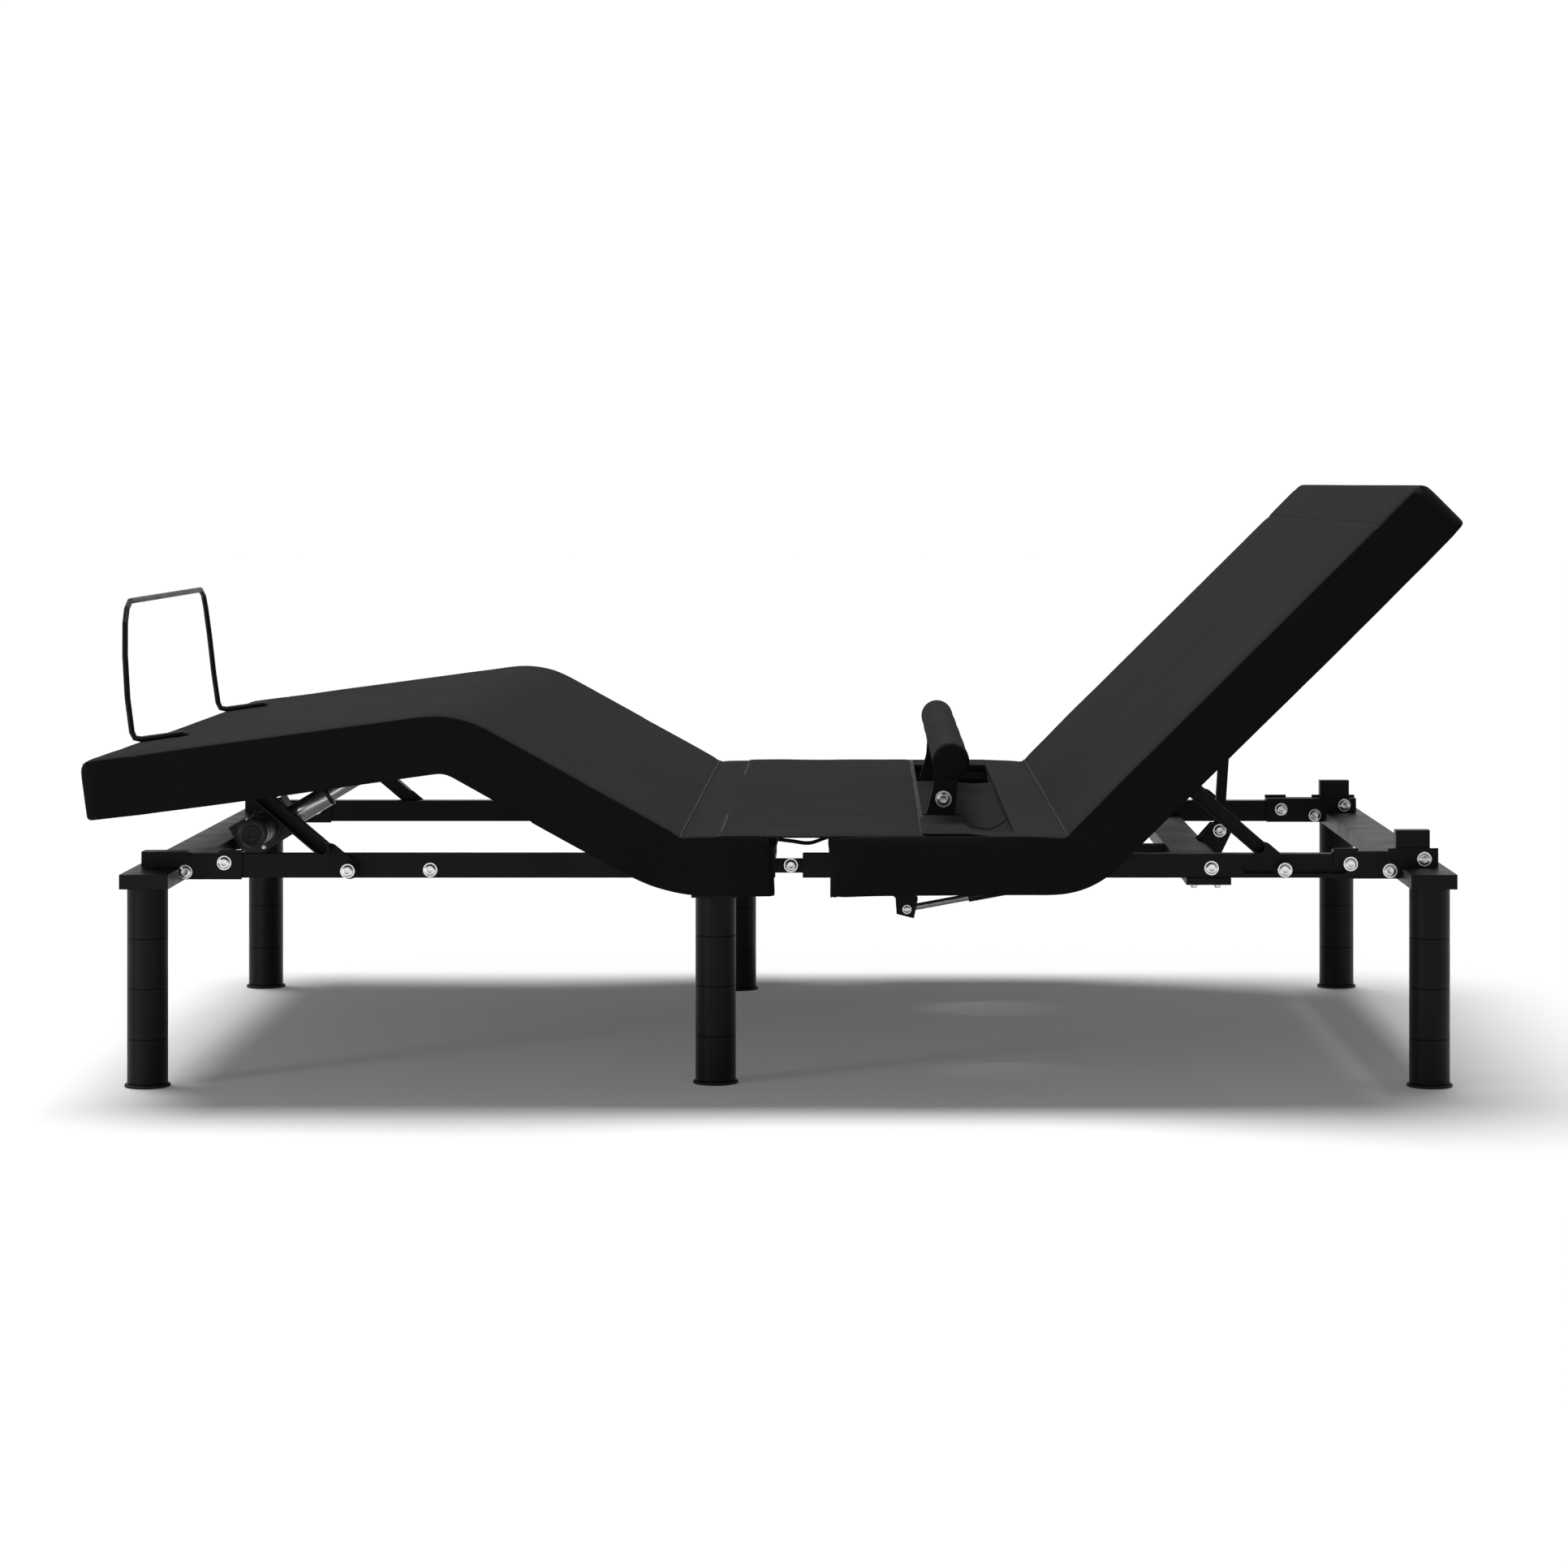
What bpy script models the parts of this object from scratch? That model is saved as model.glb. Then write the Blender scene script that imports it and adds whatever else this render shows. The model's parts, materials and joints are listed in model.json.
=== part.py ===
"""Adjustable bed base, 60 x 80 inch, with the back, knee and lumbar roller raised.

Metres, +Z up. +X is the head end and -Y is the sleeper's left side. The origin is on the
floor under the middle of the object. Every moving section is drawn flat, about its own
hinge, and then turned to its raised angle.
"""

from math import atan2, cos, hypot, pi, radians, sin, sqrt

import bmesh
import bpy
from mathutils import Matrix, Vector

# Deck
DECK_HALF_WIDTH = 0.762
DECK_TOP = 0.357
SKIRT_BOTTOM = 0.277
SKIRT_WALL = 0.014
BOARD_TOP = 0.345
BOARD_BOTTOM = 0.333
CORNER_RADIUS = 0.018
GAP = 0.0003

# Hinge lines (flat pose) and section lengths
HINGE_Z = 0.336
BACK_HINGE_X = 0.4007
BACK_LENGTH = 0.6797
BACK_ANGLE = radians(45.0)
BACK_LIMIT = radians(55.0)
THIGH_HINGE_X = -0.1249
THIGH_LENGTH = 0.3385
THIGH_ANGLE = radians(29.3)
THIGH_LIMIT = radians(32.0)
FOOT_LENGTH = 0.501
FOOT_SLOPE = radians(7.8)
KNEE_ANGLE = THIGH_ANGLE + FOOT_SLOPE
KNEE_LIMIT = KNEE_ANGLE * THIGH_LIMIT / THIGH_ANGLE
KNEE_X = THIGH_HINGE_X - THIGH_LENGTH

# Steel frame
RAIL_OUT = 0.494
RAIL_IN = 0.469
RAIL_LOW = 0.279
RAIL_TOP = 0.312
FOOT_RAIL = (-0.822, 0.000)
HEAD_RAIL = (0.0383, 0.866)
BEAM_HALF = 0.600
FOOT_BEAM = (-0.8905, -0.824)
MIDDLE_BEAM = (-0.113, -0.049)
HEAD_BEAM = (0.868, 0.931)
BEAM_LOW = 0.273
BEAM_TOP = 0.293
MIDDLE_BEAM_LOW = 0.2587
MIDDLE_BEAM_TOP = 0.2787
MEMBER = (0.570, 0.631)
MEMBER_LOW = 0.270
MEMBER_TOP = 0.290
LEG_RADIUS = 0.0278
GLIDE_RADIUS = 0.0315
GLIDE_HEIGHT = 0.004

# Section frames: a bar pair under each board, and pins on the hinge lines
BAR_TOP = BOARD_BOTTOM - GAP
BAR_LOW = RAIL_TOP + 0.0006
CROSS_LOW = 0.3165
PIN_RADIUS = 0.004
BORE_RADIUS = 0.0041
EAR_RADIUS = 0.008
THIGH_BAR = (0.440, 0.460)
FOOT_BAR = (0.4145, 0.4345)
BACK_BAR = (0.440, 0.460)
RAIL_EAR = (0.4725, 0.4775)

# Links beside the rails
LINK_IN = 0.498
LINK_OUT = 0.523
LINK_WIDTH = 0.0205
LINK_FOOT_WIDTH = 0.0265
LUG = (0.5237, 0.5267)
LINK_PIN_RADIUS = 0.005
FOOT_LINK_PIVOT = (-0.589, 0.291)
FOOT_LINK_DROP = 0.026
BACK_STRUT_PIVOT = (0.704, 0.2925)
BACK_STRUT_ANGLE = radians(41.0)
BACK_STRUT_DROP = 0.031

# Drives
FOOT_DRIVE_Y = 0.0
FOOT_DRIVE_ANCHOR = (-0.802, 0.286)
FOOT_DRIVE_PIN = (0.083, 0.024)
HEAD_DRIVE_Y = 0.10
HEAD_DRIVE_ANCHOR = (0.105, 0.2405)
HEAD_DRIVE_ARM = 0.09
HEAD_DRIVE_ARM_ANGLE = radians(-67.5)
SUPPORT_PIVOT = (0.657, 0.3045)
SUPPORT_DROP = 0.031
SUPPORT_LENGTH = 0.262
TRACK_LOW = 0.3205

# Lumbar lift
SHAFT = (0.095, 0.300)
ROLLER = (0.2424, 0.445)
ROLLER_RADIUS = 0.0254
ROLLER_HALF = 0.562
ARM_Y = 0.354
LUMBAR_Y = -0.06
LUMBAR_CRANK_PIN = (0.187, 0.192)
LUMBAR_ANCHOR = (0.425, 0.236)
TROUGH = (0.201, 0.328)
TROUGH_HALF = 0.674

STEEL = ("steel", (0.018, 0.018, 0.019), 0.42, 0.6)
ZINC = ("zinc", (0.62, 0.62, 0.63), 0.28, 1.0)
FABRIC = ("upholstery", (0.022, 0.022, 0.024), 0.85, 0.0)
PLYWOOD = ("plywood", (0.030, 0.026, 0.023), 0.7, 0.0)
PLASTIC = ("plastic", (0.020, 0.020, 0.021), 0.5, 0.0)
FOAM = ("foam", (0.030, 0.030, 0.032), 0.9, 0.0)
RUBBER = ("rubber", (0.025, 0.025, 0.025), 0.8, 0.0)


def clear_scene():
    for old in list(bpy.data.objects):
        bpy.data.objects.remove(old, do_unlink=True)


def material(spec):
    name, colour, roughness, metallic = spec
    found = bpy.data.materials.get(name)
    if found:
        return found
    made = bpy.data.materials.new(name)
    made.use_nodes = True
    shader = made.node_tree.nodes["Principled BSDF"]
    shader.inputs["Base Color"].default_value = (*colour, 1.0)
    shader.inputs["Roughness"].default_value = roughness
    shader.inputs["Metallic"].default_value = metallic
    return made


def shape(mesh_or_bmesh, name="solid"):
    """A new object in the part's collection that holds this mesh."""
    if isinstance(mesh_or_bmesh, bmesh.types.BMesh):
        mesh = bpy.data.meshes.new(name)
        mesh_or_bmesh.to_mesh(mesh)
        mesh_or_bmesh.free()
    else:
        mesh = mesh_or_bmesh
    made = bpy.data.objects.new(name, mesh)
    PARTS.objects.link(made)
    return made


def box(x, y, z):
    """A box between two X, two Y and two Z values."""
    made = bmesh.new()
    size = Matrix.Diagonal((x[1] - x[0], y[1] - y[0], z[1] - z[0], 1.0))
    centre = Matrix.Translation((sum(x) / 2, sum(y) / 2, sum(z) / 2))
    bmesh.ops.create_cube(made, size=1.0, matrix=centre @ size)
    return shape(made)


def rod(start, end, radius, sides=20, end_radius=None):
    """A cylinder, or a cone, from one point to another."""
    start, end = Vector(start), Vector(end)
    along = end - start
    turn = along.to_track_quat("Z", "Y").to_matrix().to_4x4()
    made = bmesh.new()
    bmesh.ops.create_cone(
        made,
        cap_ends=True,
        segments=sides,
        radius1=radius,
        radius2=radius if end_radius is None else end_radius,
        depth=along.length,
        matrix=Matrix.Translation((start + end) / 2) @ turn,
    )
    return shape(made)


def pin(centre, y, radius, sides=20):
    """A round pin or bore along Y, centred on an (x, z) point."""
    return rod((centre[0], y[0], centre[1]), (centre[0], y[1], centre[1]), radius, sides)


def evaluated_mesh(thing):
    """The object's mesh with its modifiers applied, welded, in the object's own space."""
    bpy.context.view_layer.update()
    graph = bpy.context.evaluated_depsgraph_get()
    mesh = bpy.data.meshes.new_from_object(thing.evaluated_get(graph))
    welded = bmesh.new()
    welded.from_mesh(mesh)
    bmesh.ops.remove_doubles(welded, verts=welded.verts, dist=1e-6)
    welded.to_mesh(mesh)
    welded.free()
    return mesh


def as_mesh(curve_object):
    """The same shape as a mesh object in place of the curve object."""
    made = shape(evaluated_mesh(curve_object))
    made.matrix_world = curve_object.matrix_world
    bpy.data.objects.remove(curve_object, do_unlink=True)
    return made


def plate(outline, y):
    """A flat outline of (x, z) points, extruded between two Y values."""
    curve = bpy.data.curves.new("outline", "CURVE")
    curve.dimensions = "2D"
    curve.fill_mode = "BOTH"
    curve.extrude = abs(y[1] - y[0]) / 2
    spline = curve.splines.new("POLY")
    spline.points.add(len(outline) - 1)
    for point, (x, z) in zip(spline.points, outline):
        point.co = (x, z, 0.0, 1.0)
    spline.use_cyclic_u = True
    drawn = bpy.data.objects.new("outline", curve)
    PARTS.objects.link(drawn)
    made = as_mesh(drawn)
    made.data.transform(Matrix.Translation((0, sum(y) / 2, 0)) @ Matrix.Rotation(pi / 2, 4, "X"))
    solid = bmesh.new()
    solid.from_mesh(made.data)
    bmesh.ops.recalc_face_normals(solid, faces=solid.faces)
    solid.to_mesh(made.data)
    solid.free()
    return made


def capsule(start, end, width, sides=12):
    """The (x, z) outline of a bar with round ends."""
    angle = atan2(end[1] - start[1], end[0] - start[0])
    points = []
    for centre, first in ((end, angle - pi / 2), (start, angle + pi / 2)):
        for step in range(sides + 1):
            turn = first + pi * step / sides
            points.append((centre[0] + width / 2 * cos(turn), centre[1] + width / 2 * sin(turn)))
    return points


def wire(points, radius, name="wire"):
    """A round wire through (x, y, z) points."""
    curve = bpy.data.curves.new(name, "CURVE")
    curve.dimensions = "3D"
    curve.bevel_depth = radius
    curve.bevel_resolution = 2
    curve.use_fill_caps = True
    spline = curve.splines.new("POLY")
    spline.points.add(len(points) - 1)
    for point, place in zip(spline.points, points):
        point.co = (*place, 1.0)
    drawn = bpy.data.objects.new(name, curve)
    PARTS.objects.link(drawn)
    return as_mesh(drawn)


def smooth_path(route, steps):
    """Points along a Catmull-Rom curve through the route."""
    ends = [Vector(p) for p in route]
    ends = [2 * ends[0] - ends[1], *ends, 2 * ends[-1] - ends[-2]]
    points = []
    for a, b, c, d in zip(ends, ends[1:], ends[2:], ends[3:]):
        for step in range(steps):
            t = step / steps
            points.append(
                0.5 * (2 * b + (c - a) * t + (2 * a - 5 * b + 4 * c - d) * t**2
                       + (3 * b - a - 3 * c + d) * t**3)
            )
    return points + [ends[-2]]


def built(name, spec, solids, cuts=()):
    """One closed solid: the union of the solids less the cuts."""
    base = solids[0]
    for others, operation in ((solids[1:], "UNION"), (cuts, "DIFFERENCE")):
        for other in others:
            change = base.modifiers.new(operation.lower(), "BOOLEAN")
            change.operation = operation
            change.solver = "EXACT"
            change.object = other
    if base.modifiers:
        made = shape(evaluated_mesh(base))
        for used in (*solids, *cuts):
            bpy.data.objects.remove(used, do_unlink=True)
    else:
        made = base
    made.name = name
    made.data.name = name
    made.data.materials.clear()
    made.data.materials.append(material(spec))
    made.data.shade_smooth()
    made.data.set_sharp_from_angle(angle=radians(35))
    return made


def round_corners(thing, end, radius):
    """Rounds the upright edges of a solid that lie at this X."""
    solid = bmesh.new()
    solid.from_mesh(thing.data)
    upright = [
        edge for edge in solid.edges
        if all(abs(v.co.x - end) < 1e-4 for v in edge.verts)
        and abs(edge.verts[0].co.y - edge.verts[1].co.y) < 1e-4
    ]
    bmesh.ops.bevel(solid, geom=upright, offset=radius, segments=6, profile=0.5, affect="EDGES")
    solid.to_mesh(thing.data)
    solid.free()


def flat_tray(profile, free_end):
    """The cloth-covered pad of one section: a profile across the bed, round at its free end."""
    body = plate(profile, (-DECK_HALF_WIDTH, DECK_HALF_WIDTH))
    if free_end is not None:
        round_corners(body, free_end, CORNER_RADIUS)
    solid = bmesh.new()
    solid.from_mesh(body.data)
    outer = [
        edge for edge in solid.edges
        if all(abs(v.co.z - DECK_TOP) < 1e-4 for v in edge.verts)
        and edge.calc_face_angle(0.0) > radians(30)
        and not along_hinge(edge, free_end)
    ]
    bmesh.ops.bevel(solid, geom=outer, offset=0.008, segments=3, profile=0.5, affect="EDGES")
    solid.to_mesh(body.data)
    solid.free()
    return body


def along_hinge(edge, free_end):
    """True for a long edge across the bed that isn't at the section's free end."""
    a, b = (v.co for v in edge.verts)
    across = abs(a.x - b.x) < 1e-4 and abs(a.y - b.y) > 0.2
    return across and (free_end is None or abs(a.x - free_end) > 1e-4)


def flat_point(hinge, towards_head, along, drop):
    """A point of a section in the flat pose: its distance from the hinge and below it."""
    return (hinge[0] + (along if towards_head else -along), hinge[1] - drop)


def turned(point, hinge, angle):
    """An (x, z) point turned about a hinge; a positive angle lifts what lies towards +X."""
    x, z = point[0] - hinge[0], point[1] - hinge[1]
    return (hinge[0] + x * cos(angle) - z * sin(angle), hinge[1] + x * sin(angle) + z * cos(angle))


def set_origin(thing, pivot):
    """Moves the object's origin to an (x, z) pivot without moving its shape."""
    place = Vector((pivot[0], 0.0, pivot[1]))
    thing.data.transform(Matrix.Translation(-place))
    thing.location = place


def pose(thing, flat_hinge, place, angle):
    """Stands a piece drawn in the flat pose on its hinge, turned by the angle."""
    set_origin(thing, flat_hinge)
    thing.location = (place[0], 0.0, place[1])
    thing.rotation_euler[1] = -angle


def between(low, high, error):
    """The root of a falling or rising function between two values, by halving."""
    rising = error(high) > 0
    value = low
    for _ in range(50):
        value = (low + high) / 2
        if (error(value) > 0) == rising:
            high = value
        else:
            low = value
    return value


clear_scene()
PARTS = bpy.data.collections.new("adjustable_bed_base")
bpy.context.scene.collection.children.link(PARTS)
SIDES = (("left", -1), ("right", 1))

BACK_HINGE = (BACK_HINGE_X, HINGE_Z)
THIGH_HINGE = (THIGH_HINGE_X, HINGE_Z)
KNEE_FLAT = (KNEE_X, HINGE_Z)
KNEE = turned(KNEE_FLAT, THIGH_HINGE, -THIGH_ANGLE)
FOOT_END_X = KNEE_X - FOOT_LENGTH
HEAD_END_X = BACK_HINGE_X + BACK_LENGTH


def at_rest_on_foot(point):
    """A point of the foot section, from its flat pose to its raised one."""
    lifted = turned(point, KNEE_FLAT, FOOT_SLOPE)
    return (lifted[0] + KNEE[0] - KNEE_FLAT[0], lifted[1] + KNEE[1] - KNEE_FLAT[1])


# ---------------------------------------------------------------- covers and boards
def hinge_end(x, away, half_angle_above, half_angle_below):
    """The slanted end of a section at a hinge line: points from top to skirt bottom."""
    above, below = DECK_TOP - HINGE_Z, HINGE_Z - SKIRT_BOTTOM
    play = 0.0004
    return [
        (x + away * (play + above * sin(half_angle_above) / cos(half_angle_above)), DECK_TOP),
        (x + away * play, HINGE_Z),
        (x + away * (play + below * sin(half_angle_below) / cos(half_angle_below)), SKIRT_BOTTOM),
    ]


def cover(name, left, right, free_end, hollow, openings=()):
    """A cloth-covered pad with its side skirts, hollow underneath."""
    body = flat_tray([*left, *reversed(right)], free_end)
    inner = DECK_HALF_WIDTH - SKIRT_WALL
    hollow_cut = box(hollow, (-inner, inner), (SKIRT_BOTTOM - 0.05, BOARD_TOP + GAP))
    if free_end is not None:
        end = hollow[0] if free_end < 0 else hollow[1]
        round_corners(hollow_cut, end, CORNER_RADIUS - SKIRT_WALL)
    return built(name, FABRIC, [body], [hollow_cut, *openings])


def board(name, ends, notches, openings=()):
    """A plywood board under a cover, notched round the hinge ears."""
    inner = DECK_HALF_WIDTH - SKIRT_WALL - GAP
    body = box(ends, (-inner, inner), (BOARD_BOTTOM, BOARD_TOP))
    cuts = [
        box((x - 0.013, x + 0.013), (min(s * 0.404, s * 0.486), max(s * 0.404, s * 0.486)),
            (0.32, 0.36))
        for x in notches for s in (-1, 1)
    ]
    return built(name, PLYWOOD, [body], [*cuts, *openings])


half_thigh = THIGH_LIMIT / 2
half_back = BACK_LIMIT / 2
half_knee = KNEE_LIMIT / 2

foot_tray_end = [(FOOT_END_X, DECK_TOP), (FOOT_END_X, SKIRT_BOTTOM)]
head_tray_end = [(HEAD_END_X, DECK_TOP), (HEAD_END_X, SKIRT_BOTTOM)]
FOLD_LEFT = 0.006
FOLD_RIGHT = 0.0757
PRONG_X = KNEE_X - 0.412
PRONG_Y = 0.390

prong_holes = [
    rod((PRONG_X, s * PRONG_Y, 0.30), (PRONG_X, s * PRONG_Y, 0.40), 0.0047, 16) for s in (-1, 1)
]
foot_cover = cover(
    "foot_cover",
    foot_tray_end,
    hinge_end(KNEE_X, -1, 0.0, half_knee),
    FOOT_END_X,
    (FOOT_END_X + SKIRT_WALL, KNEE_X + 0.1),
    prong_holes,
)
thigh_cover = cover(
    "thigh_cover",
    hinge_end(KNEE_X, 1, 0.0, half_knee),
    hinge_end(THIGH_HINGE_X, -1, half_thigh, 0.0),
    None,
    (KNEE_X - 0.1, THIGH_HINGE_X + 0.1),
)
seat_cover_foot_half = cover(
    "seat_cover_foot_half",
    hinge_end(THIGH_HINGE_X, 1, half_thigh, 0.0),
    [(FOLD_LEFT, DECK_TOP), (FOLD_LEFT, SKIRT_BOTTOM)],
    None,
    (THIGH_HINGE_X - 0.1, FOLD_LEFT + 0.1),
)
trough_cut = box(TROUGH, (-TROUGH_HALF, TROUGH_HALF), (0.32, 0.37))
seat_cover_head_half = cover(
    "seat_cover_head_half",
    [(FOLD_RIGHT, DECK_TOP), (FOLD_RIGHT, SKIRT_BOTTOM)],
    hinge_end(BACK_HINGE_X, -1, half_back, 0.0),
    None,
    (FOLD_RIGHT - 0.1, BACK_HINGE_X + 0.1),
    [trough_cut],
)
back_cover = cover(
    "back_cover",
    hinge_end(BACK_HINGE_X, 1, half_back, 0.0),
    head_tray_end,
    HEAD_END_X,
    (BACK_HINGE_X - 0.1, HEAD_END_X - SKIRT_WALL),
)

knee_setback = (HINGE_Z - BOARD_BOTTOM) * sin(half_knee) / cos(half_knee) + 0.001
prong_holes = [
    rod((PRONG_X, s * PRONG_Y, 0.30), (PRONG_X, s * PRONG_Y, 0.40), 0.0047, 16) for s in (-1, 1)
]
foot_board = board(
    "foot_board",
    (FOOT_END_X + SKIRT_WALL + 0.046, KNEE_X - knee_setback),
    [KNEE_X],
    prong_holes,
)
thigh_setback = (BOARD_TOP - HINGE_Z) * sin(half_thigh) / cos(half_thigh) + 0.001
thigh_board = board(
    "thigh_board",
    (KNEE_X + knee_setback, THIGH_HINGE_X - thigh_setback),
    [KNEE_X, THIGH_HINGE_X],
)
battens = [
    box((THIGH_HINGE_X + 0.014, FOLD_LEFT - 0.004), sorted((s * 0.470, s * 0.493)),
        (RAIL_TOP + GAP, BOARD_BOTTOM + 0.001))
    for s in (-1, 1)
]
seat_board_foot_half = built(
    "seat_board_foot_half",
    PLYWOOD,
    [
        box((THIGH_HINGE_X + thigh_setback, FOLD_LEFT - 0.001), (-0.7477, 0.7477),
            (BOARD_BOTTOM, BOARD_TOP)),
        *battens,
    ],
    [
        box((THIGH_HINGE_X - 0.013, THIGH_HINGE_X + 0.013), sorted((s * 0.404, s * 0.486)),
            (0.30, 0.36))
        for s in (-1, 1)
    ],
)
back_setback = (BOARD_TOP - HINGE_Z) * sin(half_back) / cos(half_back) + 0.001
seat_board_head_half = built(
    "seat_board_head_half",
    PLYWOOD,
    [
        box((FOLD_RIGHT + 0.001, BACK_HINGE_X - back_setback), (-0.7477, 0.7477),
            (BOARD_BOTTOM, BOARD_TOP)),
        *[
            box(x, sorted((s * 0.470, s * 0.493)), (RAIL_TOP + GAP, BOARD_BOTTOM + 0.001))
            for s in (-1, 1)
            for x in ((FOLD_RIGHT + 0.004, TROUGH[0] - 0.004), (TROUGH[1] + 0.004, 0.385))
        ],
    ],
    [
        box(TROUGH, (-TROUGH_HALF, TROUGH_HALF), (0.32, 0.37)),
        *[
            box((BACK_HINGE_X - 0.013, BACK_HINGE_X + 0.013), sorted((s * 0.404, s * 0.486)),
                (0.30, 0.36))
            for s in (-1, 1)
        ],
    ],
)
rest_notches = [
    box((0.856, 0.913), sorted((s * 0.464, s * 0.4995)), (0.32, 0.36)) for s in (-1, 1)
]
back_board = board(
    "back_board",
    (BACK_HINGE_X + back_setback, HEAD_END_X - SKIRT_WALL - 0.046),
    [BACK_HINGE_X],
    rest_notches,
)
centre_panel = built(
    "centre_panel",
    FABRIC,
    [box((-0.069, 0.201), (-DECK_HALF_WIDTH + 0.002, DECK_HALF_WIDTH - 0.002),
         (DECK_TOP + GAP, DECK_TOP + 0.0033))],
)

# ---------------------------------------------------------------- fixed frame
def drive_bracket(root, anchor, y):
    """Two plates on a beam and the pin between them that holds a drive's tang."""
    return [
        *[
            plate(capsule(root, anchor, 0.018, 8), (y + s * 0.0119 - 0.0019, y + s * 0.0119 + 0.0019))
            for s in (-1, 1)
        ],
        pin(anchor, (y - 0.0135, y + 0.0135), PIN_RADIUS),
    ]


foot_crossbeam = built(
    "foot_crossbeam",
    STEEL,
    [
        box(FOOT_BEAM, (-BEAM_HALF, BEAM_HALF), (BEAM_LOW, BEAM_TOP)),
        *drive_bracket((-0.835, 0.2835), FOOT_DRIVE_ANCHOR, FOOT_DRIVE_Y),
    ],
)
middle_crossbeam = built(
    "middle_crossbeam",
    STEEL,
    [
        box(MIDDLE_BEAM, (-0.570, 0.570), (MIDDLE_BEAM_LOW, MIDDLE_BEAM_TOP)),
        *drive_bracket((-0.025, HEAD_DRIVE_ANCHOR[1]), HEAD_DRIVE_ANCHOR, HEAD_DRIVE_Y),
        *[
            plate(capsule((-0.025, HEAD_DRIVE_ANCHOR[1]), (-0.078, 0.2640), 0.018, 8),
                  (HEAD_DRIVE_Y + s * 0.0119 - 0.0019, HEAD_DRIVE_Y + s * 0.0119 + 0.0019))
            for s in (-1, 1)
        ],
    ],
)
head_crossbeam = built(
    "head_crossbeam", STEEL, [box(HEAD_BEAM, (-BEAM_HALF, BEAM_HALF), (BEAM_LOW, BEAM_TOP))]
)


def hinge_ear(x, side):
    """An upright plate on a rail with the pin that a section turns on."""
    y = sorted((side * RAIL_EAR[0], side * RAIL_EAR[1]))
    inner = sorted((side * (THIGH_BAR[0] - 0.001), side * (RAIL_EAR[0] + 0.001)))
    return [
        plate(capsule((x, RAIL_TOP - 0.004), (x, HINGE_Z), 2 * EAR_RADIUS, 8), y),
        pin((x, HINGE_Z), inner, PIN_RADIUS),
    ]


through = {s: sorted((s * (RAIL_IN - 0.01), s * (RAIL_OUT + 0.01))) for s in (-1, 1)}
SLOT = ((0.654, BACK_STRUT_PIVOT[1]), (0.7855, BACK_STRUT_PIVOT[1]))
SLOT_WIDTH = 0.0155
SLOT_DEPTH = 0.012
slot_cut = {s: sorted((s * (RAIL_OUT - SLOT_DEPTH), s * (RAIL_OUT + 0.01))) for s in (-1, 1)}
for side, s in SIDES:
    y = sorted((s * RAIL_IN, s * RAIL_OUT))
    built(
        f"foot_side_rail_{side}",
        STEEL,
        [box(FOOT_RAIL, y, (RAIL_LOW, RAIL_TOP)), *hinge_ear(THIGH_HINGE_X, s)],
        [pin(FOOT_LINK_PIVOT, through[s], LINK_PIN_RADIUS + 0.0001, 24)],
    )
    built(
        f"head_side_rail_{side}",
        STEEL,
        [box(HEAD_RAIL, y, (RAIL_LOW, RAIL_TOP)), *hinge_ear(BACK_HINGE_X, s)],
        [
            plate(capsule(*SLOT, SLOT_WIDTH, 8), slot_cut[s]),
            pin(SHAFT, through[s], 0.0071, 24),
        ],
    )
    inner = sorted((s * (RAIL_IN - GAP), s * (RAIL_IN - 0.005)))
    built(
        f"fold_joint_bar_{side}",
        STEEL,
        [plate(capsule((-0.050, 0.294), (0.068, 0.294), 0.019, 8), inner)],
    )

    wrap = sorted((s * (RAIL_IN - 0.0033), s * (RAIL_OUT + 0.0033)))
    room = sorted((s * (RAIL_IN - GAP), s * (RAIL_OUT + GAP)))
    built(
        f"foot_end_bracket_{side}",
        STEEL,
        [plate([(-0.878, 0.2933), (-0.8235, 0.2933), (-0.8235, 0.277), (-0.739, 0.277),
                (-0.739, 0.3153), (-0.878, 0.3153)], wrap)],
        [
            box((-0.90, -0.70), room, (0.25, RAIL_TOP + GAP)),
            box((-0.814, -0.772), through[s], (0.309, 0.33)),
        ],
    )
    post = box((0.861, 0.908), sorted((s * 0.4705, s * 0.4925)), (0.314, BOARD_TOP - GAP))
    built(
        f"head_end_bracket_{side}",
        STEEL,
        [
            plate([(0.774, 0.278), (0.8675, 0.278), (0.8675, 0.2933), (0.919, 0.2933),
                   (0.919, 0.316), (0.774, 0.316)], wrap),
            box((0.774, 0.808), sorted((s * 0.491, s * 0.4973)), (0.30, 0.320)),
            box((0.850, 0.919), sorted((s * 0.491, s * 0.4973)), (0.30, 0.320)),
            post,
        ],
        [
            box((0.76, 0.93), room, (0.25, RAIL_TOP + GAP)),
            plate(capsule(*SLOT, SLOT_WIDTH, 8), slot_cut[s]),
        ],
    )

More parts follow.
